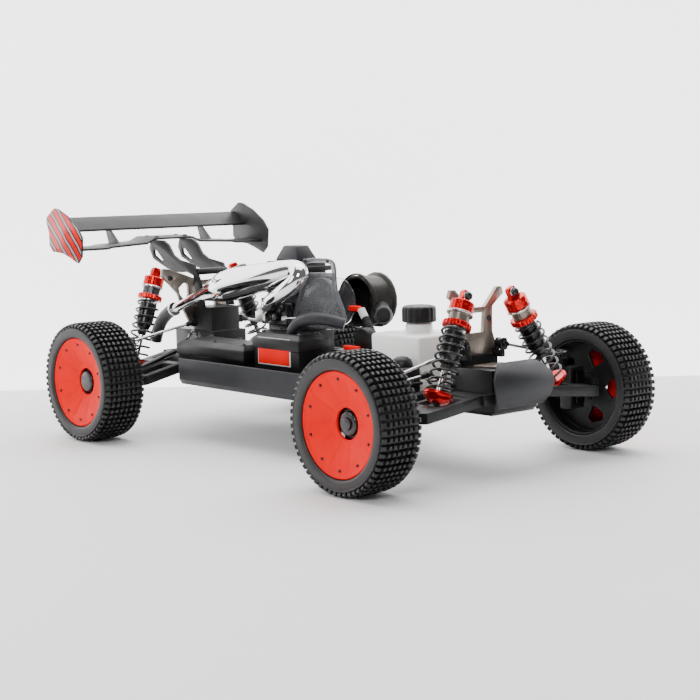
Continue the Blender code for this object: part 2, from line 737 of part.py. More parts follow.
def make_rear_carrier(side):
    """Rear hub carrier: lug on the arm, bearing block, stub axle and upper-link post."""
    inner_y = REAR_WHEEL_Y - REAR_CARRIER_INSET
    outer_y = inner_y + REAR_CARRIER_WIDTH
    reach = REAR_CARRIER_HALF_LENGTH
    core = side_block((REAR_X - reach, REAR_X + reach), (inner_y, outer_y), (-reach, reach), side)
    lug_y = REAR_ARM_OUTER_Y
    lug = bar(
        (REAR_X - LUG_HALF_LENGTH, side * lug_y, REAR_ARM_OUTER_Z),
        (REAR_X + LUG_HALF_LENGTH, side * lug_y, REAR_ARM_OUTER_Z),
        LUG_RADIUS,
        12,
    )
    neck_z = (REAR_ARM_OUTER_Z - LUG_RADIUS * 0.8, REAR_ARM_OUTER_Z + LUG_RADIUS * 0.8)
    neck_reach = reach - 0.001
    neck = side_block((REAR_X - neck_reach, REAR_X + neck_reach), (lug_y, inner_y + 0.002), neck_z, side)
    hub_face = REAR_WHEEL_Y - HUB_INNER - GAP
    shoulder = bar(
        (REAR_X, side * (outer_y - 0.003), 0), (REAR_X, side * hub_face, 0), AXLE_SHOULDER_RADIUS, 12
    )
    stub_end = REAR_WHEEL_Y + AXLE_STUB
    stub = bar((REAR_X, side * (hub_face - 0.002), 0), (REAR_X, side * stub_end, 0), AXLE_RADIUS, 12)
    post_x = (REAR_X + REAR_LINK_X - 0.014, REAR_X + REAR_LINK_X - BALL_END_LENGTH / 2 - GAP)
    post_y = (REAR_ARM_OUTER_Y - 0.005, inner_y + 0.004)
    post_z = (reach - 0.006, REAR_LINK_OUTER_Z)
    post = side_block(post_x, (inner_y + 0.001, outer_y - 0.001), post_z, side)
    head_z = (REAR_LINK_OUTER_Z - BALL_END_RADIUS, REAR_LINK_OUTER_Z + BALL_END_RADIUS)
    head_x = (post_x[0] + 0.001, post_x[1] - 0.0005)
    head = side_block(head_x, (post_y[0], outer_y - 0.002), head_z, side)
    carrier = combine(core, [lug, neck, shoulder, stub, post, head])
    socket = bar(
        (REAR_X, side * (lug_y - LUG_RADIUS - 0.002), 0),
        (REAR_X, side * (outer_y - 0.004), 0),
        DRIVE_SOCKET_RADIUS,
        12,
    )
    return rounded(tidied(combine(tidied(carrier), [socket], "DIFFERENCE")))


def make_drive_shaft(side):
    """Dog-bone drive shaft with a ball at each end."""
    start = Vector((REAR_X, side * DRIVE_SHAFT_INNER[0], DRIVE_SHAFT_INNER[1]))
    end = Vector((REAR_X, side * (REAR_WHEEL_Y - DRIVE_SHAFT_OUTER_INSET), 0))
    length = (end - start).length
    ball = DRIVE_BALL_RADIUS
    shaft = DRIVE_SHAFT_RADIUS
    profile = [
        (0, -ball),
        (ball * 0.8, -ball * 0.6),
        (ball, 0),
        (ball * 0.8, ball * 0.7),
        (shaft, ball),
        (shaft, length - ball),
        (ball * 0.8, length - ball * 0.7),
        (ball, length),
        (ball * 0.8, length + ball * 0.6),
        (0, length + ball),
    ]
    return turned(profile, start, end - start, 8, closed=False)


# ---------------------------------------------------------------- shock absorbers


def make_shock_body(top, direction):
    """Damper body hanging from its upper eye: cap, threaded barrel, collar and bored nose."""
    bore = SHOCK_ROD_RADIUS + RUNNING
    profile = [
        (0, SHOCK_CAP_START),
        (SHOCK_CAP_RADIUS, SHOCK_CAP_START),
        (SHOCK_CAP_RADIUS, SHOCK_CAP_END),
        (SHOCK_BODY_RADIUS, SHOCK_CAP_END),
        (SHOCK_BODY_RADIUS, SHOCK_COLLAR_START),
        (SHOCK_COLLAR_RADIUS, SHOCK_COLLAR_START),
        (SHOCK_COLLAR_RADIUS, SHOCK_COLLAR_END),
        (SHOCK_BODY_RADIUS, SHOCK_COLLAR_END),
        (SHOCK_BODY_RADIUS, SHOCK_BODY_END),
        (SHOCK_NOSE_RADIUS, SHOCK_NOSE_END),
        (bore, SHOCK_NOSE_END),
        (bore, SHOCK_BORE_TOP),
        (0, SHOCK_BORE_TOP),
    ]
    body = turned(profile, top, direction, 12, closed=False)
    neck = bar(top, top + direction * (SHOCK_CAP_START + 0.003), SHOCK_EYE_RADIUS * 0.8, 8)
    return rounded(combine(body, [neck, make_eye(top)]))


def make_eye(centre):
    """Eye at one end of a shock, a short barrel across the car's length."""
    half = Vector((SHOCK_EYE_LENGTH / 2, 0, 0))
    return bar(centre - half, centre + half, SHOCK_EYE_RADIUS, 12)


def make_shock_rod(foot, direction, rod_length):
    """Piston rod with the lower spring seat and the lower eye."""
    seat_top = SHOCK_SEAT_UP
    seat_bottom = seat_top - SHOCK_SEAT_HEIGHT
    profile = [
        (0, 0.004),
        (SHOCK_EYE_RADIUS * 0.9, 0.004),
        (SHOCK_SEAT_RADIUS, seat_bottom),
        (SHOCK_SEAT_RADIUS, seat_top),
        (SHOCK_ROD_RADIUS, seat_top),
        (SHOCK_ROD_RADIUS, rod_length),
        (0, rod_length),
    ]
    rod = turned(profile, foot, -direction, 12, closed=False)
    return rounded(combine(rod, [make_eye(foot)]))


def make_spring(top, direction, start, end):
    """Coil spring wound from the collar down to the lower seat."""
    frame = axis_frame(top, direction)
    radius = SHOCK_SEAT_RADIUS - SPRING_WIRE_RADIUS * 1.4
    steps = int(SPRING_TURNS * SPRING_STEPS)
    rise = (end - start) / steps
    rings = []
    for i in range(steps + 1):
        angle = 2 * math.pi * i / SPRING_STEPS
        ring = []
        for k in range(SPRING_SIDES):
            turn = 2 * math.pi * k / SPRING_SIDES
            out = radius + SPRING_WIRE_RADIUS * math.cos(turn)
            along = start + rise * i + SPRING_WIRE_RADIUS * math.sin(turn)
            ring.append(frame @ Vector((out * math.cos(angle), out * math.sin(angle), along)))
        rings.append(ring)
    return rounded(loft(rings), 60)


def add_shock(chassis, corner, top, foot):
    """One shock absorber: body on the tower, rod sliding in it and the spring round both."""
    top = Vector(top)
    foot = Vector(foot)
    length = (foot - top).length
    direction = (foot - top) / length
    swing = Body(f"{corner}_shock_swing", top, chassis)
    swing.add(make_shock_body(top, direction), f"{corner}_shock_body", silver_alloy())
    slide = Body(f"{corner}_shock_slide", foot, swing)
    rod = make_shock_rod(foot, direction, length - SHOCK_ROD_TOP)
    slide.add(rod, f"{corner}_shock_rod", red_anodised())
    start = SHOCK_COLLAR_END + SPRING_WIRE_RADIUS + GAP
    end = length - SHOCK_SEAT_UP - SPRING_WIRE_RADIUS - GAP
    spring = make_spring(top, direction, start, end)
    swing.add(spring, f"{corner}_spring", spring_steel())


# ---------------------------------------------------------------- corners


def add_front_corner(chassis, side, steering):
    """Arm, carrier, knuckle, wheel, links and shock of one front corner."""
    corner = "front_left" if side > 0 else "front_right"
    arm_pin = (FRONT_X, side * FRONT_ARM_INNER[0], FRONT_ARM_INNER[1])
    arm = Body(f"{corner}_arm_pivot", arm_pin, chassis)
    arm.add(make_front_arm(side), f"{corner}_lower_arm", black_plastic())
    carrier_pin = (FRONT_X, side * FRONT_ARM_OUTER_Y, FRONT_ARM_OUTER_Z)
    carrier = Body(f"{corner}_carrier_pivot", carrier_pin, arm)
    carrier.add(make_spindle_carrier(side), f"{corner}_spindle_carrier", black_plastic())
    knuckle = Body(f"{corner}_kingpin", (FRONT_X, side * KINGPIN_Y, 0), carrier)
    knuckle.add(make_knuckle(side), f"{corner}_steering_knuckle", dark_steel())
    add_wheel(knuckle, corner, FRONT_X, FRONT_WHEEL_Y, FRONT_TYRE_WIDTH, side)
    link_x = FRONT_X + FRONT_LINK_X
    inner = (link_x, side * FRONT_LINK_INNER[0], FRONT_LINK_INNER[1])
    outer = (link_x, side * (FRONT_ARM_OUTER_Y - 0.002), FRONT_LINK_OUTER_Z)
    link = Body(f"{corner}_link_pivot", inner, chassis)
    link.add(make_link(inner, outer, (1, 0, 0)), f"{corner}_camber_link", silver_alloy())
    rod_x = FRONT_X + STEERING_ARM_X
    inner = (rod_x, side * TIE_ROD_INNER[0], TIE_ROD_INNER[1])
    outer = (rod_x, side * (KINGPIN_Y - 0.006), TIE_ROD_OUTER_Z)
    rod = Body(f"{corner}_tie_rod_pivot", inner, steering)
    rod.add(make_link(inner, outer, (0, 0, 1)), f"{corner}_tie_rod", silver_alloy())
    top_x, top_y, top_z = FRONT_SHOCK_TOP
    foot_x, foot_y = FRONT_SHOCK_FOOT
    foot_z = arm_height(foot_y, FRONT_ARM_INNER, (FRONT_ARM_OUTER_Y, FRONT_ARM_OUTER_Z))
    top = (FRONT_X + top_x, side * top_y, top_z)
    add_shock(chassis, corner, top, (FRONT_X + foot_x, side * foot_y, foot_z))


def add_rear_corner(chassis, side):
    """Arm, hub carrier, wheel, link, drive shaft and shock of one rear corner."""
    corner = "rear_left" if side > 0 else "rear_right"
    arm_pin = (REAR_X, side * REAR_ARM_INNER[0], REAR_ARM_INNER[1])
    arm = Body(f"{corner}_arm_pivot", arm_pin, chassis)
    arm.add(make_rear_arm(side), f"{corner}_lower_arm", black_plastic())
    carrier_pin = (REAR_X, side * REAR_ARM_OUTER_Y, REAR_ARM_OUTER_Z)
    carrier = Body(f"{corner}_carrier_pivot", carrier_pin, arm)
    carrier.add(make_rear_carrier(side), f"{corner}_hub_carrier", black_plastic())
    add_wheel(carrier, corner, REAR_X, REAR_WHEEL_Y, REAR_TYRE_WIDTH, side)
    link_x = REAR_X + REAR_LINK_X
    inner = (link_x, side * REAR_LINK_INNER[0], REAR_LINK_INNER[1])
    outer = (link_x, side * REAR_ARM_OUTER_Y, REAR_LINK_OUTER_Z)
    link = Body(f"{corner}_link_pivot", inner, chassis)
    link.add(make_link(inner, outer, (1, 0, 0)), f"{corner}_camber_link", silver_alloy())
    shaft_pin = (REAR_X, side * DRIVE_SHAFT_INNER[0], DRIVE_SHAFT_INNER[1])
    shaft = Body(f"{corner}_drive_pivot", shaft_pin, chassis)
    shaft.add(make_drive_shaft(side), f"{corner}_drive_shaft", dark_steel())
    top_x, top_y, top_z = REAR_SHOCK_TOP
    foot_x, foot_y = REAR_SHOCK_FOOT
    foot_z = arm_height(foot_y, REAR_ARM_INNER, (REAR_ARM_OUTER_Y, REAR_ARM_OUTER_Z))
    top = (REAR_X + top_x, side * top_y, top_z)
    add_shock(chassis, corner, top, (REAR_X + foot_x, side * foot_y, foot_z))


def add_steering_link(chassis):
    """Sliding link that both tie rods pull on; returns its body."""
    x = FRONT_X + STEERING_ARM_X
    body = Body("steering_slide", (x, 0, TIE_ROD_INNER[1]), chassis)
    top = TIE_ROD_INNER[1] - BALL_END_LENGTH / 2 - BALL_TILT_ROOM
    reach = TIE_ROD_INNER[0] + BALL_END_RADIUS
    link = block((x - 0.007, -reach, top - STEERING_LINK_THICKNESS), (x + 0.007, reach, top))
    body.add(link, "steering_link", tower_alloy())
    return body


# ---------------------------------------------------------------- chassis and body frame


def make_chassis_plate():
    """Flat alloy plate, wide between the wheels and narrow at both ends."""
    nose = FRONT_X + FRONT_ARM_FRONT
    tail = REAR_X + REAR_ARM_BACK - HINGE_PLATE
    narrow = CHASSIS_NOSE_HALF_WIDTH
    half = [
        (nose, narrow),
        (FRONT_X - 0.110, narrow + 0.006),
        (CHASSIS_WAIST_X, CHASSIS_HALF_WIDTH - 0.004),
        (CHASSIS_WAIST_X - 0.012, CHASSIS_HALF_WIDTH),
        (CHASSIS_HIP_X, CHASSIS_HALF_WIDTH),
        (REAR_X + 0.060, narrow + 0.014),
        (tail, narrow),
    ]
    outline = half + [(x, -y) for x, y in reversed(half)]
    plate = extrusion([outline], along_z, -GROUND_DROP, -GROUND_DROP + PLATE_THICKNESS)
    return plate


def make_side_guard(side):
    """Side guard: a lip resting on the plate and a wall leaning out from its edge."""
    wall = GUARD_OUTER_Y - GUARD_WALL
    edge = CHASSIS_HALF_WIDTH + GAP
    under = -GROUND_DROP - GAP
    outline = [
        (edge - 0.010, DECK_Z),
        (edge - 0.010, DECK_Z + 0.003),
        (wall - 0.002, DECK_Z + 0.003),
        (wall, GUARD_TOP_Z),
        (GUARD_OUTER_Y, GUARD_TOP_Z),
        (GUARD_OUTER_Y, 0.0),
        (GUARD_OUTER_Y - 0.005, under),
        (edge, under),
        (edge, DECK_Z),
    ]
    outline = [(side * y, z) for y, z in outline]
    return extrusion([outline], along_x, CHASSIS_HIP_X, CHASSIS_WAIST_X)


def make_front_bumper():
    """Nose plate, bulging forward, wider at its middle than at its top and bottom."""
    back = BUMPER_THICKNESS
    rows = (
        (0.058, 0.058, 0.030),
        (0.066, 0.052, 0.042),
        (0.073, 0.040, 0.052),
        (0.0755, 0.026, 0.053),
        (0.073, 0.012, 0.048),
        (0.067, 0.002, 0.041),
    )
    rings = []
    for x, z, half in rows:
        front_x = FRONT_X + x
        rings.append(
            [
                (front_x, -half, z),
                (front_x, half, z),
                (front_x - back, half, z - (z - 0.026) * 0.08),
                (front_x - back, -half, z - (z - 0.026) * 0.08),
            ]
        )
    return rounded(loft(rings), 40)


def make_front_bulkhead():
    """Front bulkhead between the arms, with hinge plates and the bumper's standoff."""
    half = BULKHEAD_HALF_WIDTH
    back = FRONT_X + FRONT_ARM_BACK
    front = FRONT_X + FRONT_ARM_FRONT
    low_top = TIE_ROD_INNER[1] - 0.0175
    beyond = LUG_ROOM + HINGE_PLATE
    base = block((back - beyond, -half, DECK_Z), (front + beyond, half, low_top))
    tall = block((FRONT_X - 0.006, -half, low_top - 0.002), (front, half, BULKHEAD_TOP_Z))
    post_x = (FRONT_X + FRONT_TOWER_X - TOWER_THICKNESS / 2 - 0.008, FRONT_X - 0.004)
    pedestal = block(
        (post_x[0], -half + 0.004, low_top - 0.002), (post_x[1], half - 0.004, TOWER_FOOT_Z)
    )
    pieces = [tall, pedestal]
    reach = FRONT_ARM_INNER[0] + ARM_BARREL_RADIUS
    plate_z = (FRONT_ARM_INNER[1] - ARM_BARREL_RADIUS, FRONT_ARM_INNER[1] + ARM_BARREL_RADIUS)
    for x in (back - LUG_ROOM - HINGE_PLATE, front + LUG_ROOM):
        pieces.append(block((x, -reach, plate_z[0]), (x + HINGE_PLATE, reach, plate_z[1])))
    standoff = block((front, -0.012, 0.021), (FRONT_X + BUMPER_MOUNT_X - GAP, 0.012, 0.030))
    pieces.append(standoff)
    return combine(base, pieces)


def make_front_tower():
    """Front shock tower: two legs, a crossbar between them and arms out to the ears."""
    ear_y = FRONT_SHOCK_TOP[1]
    ear_z = FRONT_SHOCK_TOP[2]
    half = [
        (0, TOWER_FOOT_Z + GAP),
        (0.034, TOWER_FOOT_Z + GAP),
        (0.034, TOWER_FOOT_Z + 0.012),
        (0.028, 0.088),
        (0.0285, 0.120),
        (0.036, ear_z - 0.012),
        (ear_y + 0.007, ear_z - 0.003),
        (ear_y + 0.004, ear_z + 0.006),
        (ear_y - 0.004, ear_z + 0.006),
        (0.015, 0.120),
        (0, 0.120),
    ]
    outline = mirrored(half)
    window = [(-0.012, 0.088), (0.012, 0.088), (0.014, 0.113), (-0.014, 0.113)]
    start = FRONT_X + FRONT_TOWER_X - TOWER_THICKNESS / 2
    return extrusion([outline, window], along_x, start, start + TOWER_THICKNESS)


def make_rear_tower():
    """Rear shock tower: a wide plate with two windows, an ear for each shock."""
    ear_y = REAR_SHOCK_TOP[1]
    ear_z = REAR_SHOCK_TOP[2]
    half = [
        (0, TOWER_FOOT_Z),
        (0.030, TOWER_FOOT_Z),
        (0.046, 0.097),
        (0.052, 0.114),
        (ear_y - 0.006, ear_z - 0.018),
        (ear_y + 0.007, ear_z - 0.005),
        (ear_y + 0.004, ear_z + 0.006),
        (ear_y - 0.006, ear_z + 0.005),
        (0.046, 0.145),
        (0.024, 0.137),
        (0.016, 0.128),
        (0, 0.128),
    ]
    holes = []
    for side in (1, -1):
        points = ((0.022, 0.100), (0.038, 0.103), (0.051, 0.127), (0.030, 0.124))
        holes.append([(side * y, z) for y, z in points])
    outline = mirrored(half)
    start = REAR_X + REAR_TOWER_X - TOWER_THICKNESS / 2
    return extrusion([outline] + holes, along_x, start, start + TOWER_THICKNESS)


def make_gearbox():
    """Rear gearbox: casing, tower step, hinge plates and the two output sockets."""
    half = GEARBOX_HALF_WIDTH
    back = REAR_X + REAR_ARM_BACK
    front = REAR_X + REAR_ARM_FRONT
    step_x = REAR_X + REAR_TOWER_X + TOWER_THICKNESS / 2 + GAP
    casing = block((back, -half, DECK_Z), (front, half, GEARBOX_STEP_Z))
    seat_half = half - 0.004
    tower_seat = block(
        (step_x, -seat_half, GEARBOX_STEP_Z - 0.002), (front - 0.010, seat_half, GEARBOX_TOP_Z)
    )
    pieces = [tower_seat]
    reach = REAR_ARM_INNER[0] + ARM_BARREL_RADIUS
    plate_z = (REAR_ARM_INNER[1] - ARM_BARREL_RADIUS, REAR_ARM_INNER[1] + ARM_BARREL_RADIUS)
    for x in (back - LUG_ROOM - HINGE_PLATE, front + LUG_ROOM):
        pieces.append(block((x, -reach, plate_z[0]), (x + HINGE_PLATE, reach, plate_z[1])))
    pieces.append(
        block(
            (back - LUG_ROOM - 0.001, -half + 0.002, plate_z[0] + 0.001),
            (front + LUG_ROOM + 0.001, half - 0.002, plate_z[1] - 0.001),
        )
    )
    casing = combine(casing, pieces)
    boss_end = half + 0.004
    shaft_z = DRIVE_SHAFT_INNER[1]
    boss = bar((REAR_X, -boss_end, shaft_z), (REAR_X, boss_end, shaft_z), 0.013, 12)
    casing = combine(casing, [boss])
    through = boss_end + 0.006
    bore = bar((REAR_X, -through, shaft_z), (REAR_X, through, shaft_z), DRIVE_SOCKET_RADIUS, 12)
    return rounded(combine(casing, [bore], "DIFFERENCE"))


def make_wing_mount():
    """Two curved brackets from the gearbox up to the wing, tied by a cross tube."""
    outline = [
        (0.004, GEARBOX_TOP_Z + GAP),
        (0.020, GEARBOX_TOP_Z + GAP),
        (0.013, 0.130),
        (-0.004, 0.158),
        (-0.041, 0.1635),
        (-0.057, 0.1710),
        (-0.069, 0.1860),
        (-0.082, 0.1926),
        (-0.116, 0.1930),
        (-0.121, 0.1800),
        (-0.112, 0.1640),
        (-0.075, 0.1500),
        (-0.050, 0.1450),
        (-0.034, 0.1445),
        (-0.022, 0.146),
        (-0.005, 0.141),
    ]
    slot = [(-0.110, 0.1765), (-0.101, 0.1770), (-0.084, 0.1625), (-0.088, 0.1590), (-0.108, 0.1690)]
    rings = [[(REAR_X + x, z) for x, z in ring] for ring in (outline, slot)]
    half = BRACKET_THICKNESS / 2
    plates = []
    for side in (1, -1):
        y = side * BRACKET_Y
        plates.append(extrusion(rings, along_y, y - half, y + half))
    tube_x = REAR_X + 0.003
    tube = bar((tube_x, -BRACKET_Y, 0.147), (tube_x, BRACKET_Y, 0.147), 0.005, 10)
    return combine(plates[0], [tube, plates[1]])


def blade(stations, thickness):
    """Wing blade lofted across the car from (y, leading x, leading z, trailing x, trailing z)."""
    rings = []
    for y, lead_x, lead_z, trail_x, trail_z in stations:
        middle_x = (lead_x + trail_x) / 2
        middle_z = (lead_z + trail_z) / 2 + 0.001
        rings.append(
            [
                (REAR_X + lead_x, y, lead_z),
                (REAR_X + middle_x, y, middle_z),
                (REAR_X + trail_x, y, trail_z),
                (REAR_X + trail_x, y, trail_z + thickness),
                (REAR_X + middle_x, y, middle_z + thickness),
                (REAR_X + lead_x, y, lead_z + thickness),
            ]
        )
    return loft(rings)


def make_wing():
    """Wing: a raised-centre lower blade, a steeper upper blade and two swept struts."""
    edge = WING_HALF_SPAN - END_PLATE_THICKNESS - GAP
    lower = (
        (edge, 0.182),
        (0.123, 0.182),
        (0.112, 0.184),
        (0.050, 0.187),
        (0.036, 0.1935),
    )
    stations = [(y, -0.094, z, -0.145, z + 0.002) for y, z in lower]
    stations += [(-station[0], *station[1:]) for station in reversed(stations)]
    main = blade(stations, BLADE_THICKNESS)
    upper = [(y, -0.139, 0.209, -0.166, 0.228) for y in (edge, -edge)]
    flap = blade(upper, BLADE_THICKNESS)
    struts = []
    for side in (1, -1):
        low_y, high_y = sorted((side * 0.085, side * 0.089))
        feet = [(-0.112, 0.186), (-0.142, 0.186)]
        heads = [(-0.156, 0.222), (-0.143, 0.213)]
        outline = [(REAR_X + x, z) for x, z in feet + heads]
        struts.append(extrusion([outline], along_y, low_y, high_y))
    return combine(main, struts + [flap])


def make_end_plate(side):
    """Wing end plate with a swept, pointed lower edge."""
    outline = [
        (-0.156, 0.246),
        (-0.177, 0.233),
        (-WING_REAR, 0.226),
        (-0.1725, 0.209),
        (-0.1725, 0.190),
        (-0.163, 0.180),
        (-0.134, 0.178),
        (-0.114, 0.172),
        (-0.092, 0.164),
        (-0.081, 0.174),
        (-0.078, 0.202),
        (-0.090, 0.217),
        (-0.117, 0.234),
        (-0.145, 0.245),
    ]
    outline = [(REAR_X + x, z) for x, z in outline]
    inner_y, outer_y = WING_HALF_SPAN - END_PLATE_THICKNESS, WING_HALF_SPAN
    return extrusion([outline], along_y, side * inner_y, side * outer_y)


# ---------------------------------------------------------------- engine, exhaust and tank


def make_engine():
    """Engine: crankcase and a finned cylinder above it."""
    x0 = ENGINE_X - ENGINE_HALF_LENGTH
    x1 = ENGINE_X + ENGINE_HALF_LENGTH
    half = ENGINE_HALF_WIDTH
    crankcase = block((x0, -half, DECK_Z), (x1, half, CRANKCASE_TOP_Z))
    barrel = block(
        (x0 + FIN_DEPTH, -half + FIN_DEPTH, CRANKCASE_TOP_Z - 0.004),
        (x1 - FIN_DEPTH, half - FIN_DEPTH, CYLINDER_TOP_Z),
    )
    pitch = (CYLINDER_TOP_Z - CRANKCASE_TOP_Z) / (FIN_COUNT + 0.5)
    fins = []
    for i in range(FIN_COUNT):
        z = CRANKCASE_TOP_Z + pitch * (i + 0.6)
        fins.append(block((x0, -half, z), (x1, half, z + pitch * 0.45)))
    return combine(crankcase, [barrel] + fins)


def make_shroud():
    """Faceted cover that stands on top of the cylinder and narrows upwards."""
    seat = CYLINDER_TOP_Z + GAP
    rows = ((seat, 0.024, 0.018), (seat + 0.003, 0.024, 0.018), (0.190, 0.0145, 0.011))
    rings = []
    for z, half_x, half_y in rows:
        corners = ((1, 1), (-1, 1), (-1, -1), (1, -1))
        rings.append([(ENGINE_X + sx * half_x, sy * half_y, z) for sx, sy in corners])
    return loft(rings)


def make_muffler():
    """Tuned exhaust: header from the cylinder, U-bend, fat cone, stinger and rubber elbow."""
    y = MUFFLER_Y
    side_face = -ENGINE_HALF_WIDTH - GAP
    route = (
        (-0.082, side_face, 0.098, 0.008),
        (-0.082, side_face - 0.014, 0.098, 0.008),
        (-0.068, y - 0.006, 0.108, 0.010),
        (-0.040, y - 0.012, 0.119, 0.012),
        (-0.010, y - 0.014, 0.133, 0.012),
        (0.006, y - 0.010, 0.144, 0.012),
        (0.010, y - 0.004, 0.156, 0.012),
        (-0.002, y, 0.163, 0.012),
        (-0.024, y, 0.159, 0.015),
        (-0.060, y, 0.151, 0.019),
        (REAR_X + 0.135, y + 0.003, 0.136, 0.023),
        (REAR_X + 0.107, y + 0.004, 0.130, 0.023),
        (REAR_X + 0.063, y + 0.004, 0.118, 0.010),
        (REAR_X + 0.043, y + 0.004, 0.113, 0.007),
        (REAR_X - 0.017, y + 0.005, 0.092, 0.007),
        (REAR_X - 0.025, y + 0.005, 0.090, 0.0095),
        (REAR_X - 0.045, y + 0.005, 0.082, 0.0095),
        (REAR_X - 0.065, y + 0.005, 0.062, 0.0095),
        (REAR_X - 0.073, y + 0.005, 0.040, 0.0095),
    )
    return pipe(route, 10)


def make_drum():
    """Cooling-fan housing: an open drum with a rolled lip, on a neck from the engine."""
    wall = 0.003
    lip = DRUM_RADIUS + 0.003
    profile = [
        (0, DRUM_LENGTH),
        (lip, DRUM_LENGTH),
        (lip, DRUM_LENGTH - 0.004),
        (DRUM_RADIUS - 0.002, DRUM_LENGTH - 0.006),
        (DRUM_RADIUS, 0),
        (DRUM_RADIUS - wall, 0),
        (DRUM_RADIUS - wall, DRUM_LENGTH - 0.010),
        (0, DRUM_LENGTH - 0.010),
    ]
    drum = turned(profile, (DRUM_X, DRUM_Y, DRUM_Z), (0, 1, 0), 20, closed=False)
    engine_face = ENGINE_X + ENGINE_HALF_LENGTH + GAP
    neck_y = ENGINE_HALF_WIDTH - 0.008
    outer_y = DRUM_Y + DRUM_LENGTH
    neck_low, neck_high = DRUM_Z - 0.012, DRUM_Z + 0.012
    back_y = outer_y - 0.001
    neck = block((engine_face, outer_y - 0.010, neck_low), (DRUM_X, back_y, neck_high))
    foot = block(
        (engine_face, neck_y - 0.012, neck_low), (engine_face + 0.010, back_y, neck_high)
    )
    return rounded(combine(drum, [neck, foot]))


def make_clear_guard():
    """Clear plastic guard with a hoop-shaped hand hold at its top."""
    y = MUFFLER_Y + 0.020
    outline = [
        (-0.030, 0.080),
        (0.094, 0.088),
        (0.078, 0.108),
        (0.046, 0.126),
        (0.038, 0.132),
        (0.038, 0.160),
        (0.030, 0.171),
        (-0.026, 0.171),
        (-0.034, 0.160),
        (-0.034, 0.120),
    ]
    hole = [(-0.024, 0.136), (0.028, 0.136), (0.028, 0.160), (-0.024, 0.160)]
    plate = extrusion([outline, hole], along_y, y, y + 0.003)
    radio_top = RADIO_TOP_Z + GAP
    foot = block((-0.028, y - 0.008, radio_top), (0.036, y + 0.003, 0.083))
    return combine(plate, [foot])


def make_tank():
    """Fuel tank with a filler neck in its top."""
    x = FRONT_X + TANK_X
    half_x = TANK_HALF_LENGTH
    half_y = TANK_HALF_WIDTH
    tank = block((x - half_x, -half_y, DECK_Z), (x + half_x, half_y, TANK_TOP_Z))
    neck = bar((x, 0, TANK_TOP_Z - 0.003), (x, 0, CAP_BOTTOM_Z - GAP), NECK_RADIUS, 16)
    return combine(tank, [neck])


def make_cap():
    """Fuel cap, ribbed for grip."""
    x = FRONT_X + TANK_X
    ribs = 16
    rings = []
    for z, scale in ((0, 1), (CAP_HEIGHT * 0.85, 1), (CAP_HEIGHT, 0.88)):
        ring = []
        for i in range(ribs * 2):
            angle = math.pi * i / ribs
            radius = (CAP_RADIUS - (0.0015 if i % 2 else 0)) * scale
            ring.append((x + radius * math.cos(angle), radius * math.sin(angle), CAP_BOTTOM_Z + z))
        rings.append(ring)
    return loft(rings)


def make_tray_box(x_range, y_range, top):
    """Lidded box that stands on the chassis, its upper edges chamfered."""
    chamfer = 0.007
    lid = top - 0.022
    lip = -0.002
    rows = ((DECK_Z, 0), (lid, 0), (lid, lip), (top - chamfer, lip), (top, chamfer))
    rings = []
    for z, inset in rows:
        x0, x1 = x_range[0] + inset, x_range[1] - inset
        y0, y1 = y_range[0] + inset, y_range[1] - inset
        rings.append([(x0, y0, z), (x1, y0, z), (x1, y1, z), (x0, y1, z)])
    return loft(rings)


# ---------------------------------------------------------------- assembly


def add_chassis(chassis):
    """Everything that is bolted to the chassis plate and doesn't move."""
    chassis.add(make_chassis_plate(), "chassis_plate", dark_steel())
    for side, name in ((1, "left"), (-1, "right")):
        chassis.add(make_side_guard(side), f"{name}_side_guard", slate_plastic())
        chassis.add(make_end_plate(side), f"{name}_wing_end_plate", black_plastic())
    chassis.add(make_front_bumper(), "front_bumper", slate_plastic())
    chassis.add(make_front_bulkhead(), "front_bulkhead", black_plastic())
    chassis.add(make_front_tower(), "front_shock_tower", tower_alloy())
    chassis.add(make_gearbox(), "rear_gearbox", black_plastic())
    chassis.add(make_rear_tower(), "rear_shock_tower", tower_alloy())
    chassis.add(make_wing_mount(), "wing_mount", black_plastic())
    chassis.add(make_wing(), "wing", black_plastic())
    chassis.add(make_engine(), "engine", engine_alloy())
    chassis.add(make_shroud(), "engine_shroud", slate_plastic())
    chassis.add(make_muffler(), "tuned_exhaust", bright_chrome())
    chassis.add(make_drum(), "fan_housing", dark_steel())
    chassis.add(make_clear_guard(), "clear_guard", smoked_clear())
    chassis.add(make_tank(), "fuel_tank", tank_white())
    chassis.add(make_tray_box(BATTERY_X, BATTERY_Y, BATTERY_TOP_Z), "battery_box", black_plastic())
    chassis.add(make_tray_box(RADIO_X, RADIO_Y, RADIO_TOP_Z), "radio_box", black_plastic())


def main():
    """Build the car from the chassis out."""
    clear_scene()
    chassis = Body("car", (0, 0, 0))
    add_chassis(chassis)
    cap = Body("fuel_cap_turn", (FRONT_X + TANK_X, 0, CAP_BOTTOM_Z), chassis)
    cap.add(make_cap(), "fuel_cap", black_plastic())
    steering = add_steering_link(chassis)
    for side in (1, -1):
        add_front_corner(chassis, side, steering)
        add_rear_corner(chassis, side)


main()
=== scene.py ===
"""A fifth-scale petrol off-road buggy, dressed over its fixed frame.

Places are written in millimetres, with X forward, Y to the car's left, Z up and the floor at zero.
"""

from __future__ import annotations

import logging
import math
from dataclasses import dataclass
from enum import Enum
from typing import Callable, Iterable, Sequence

import bpy
from mathutils import Matrix, Vector


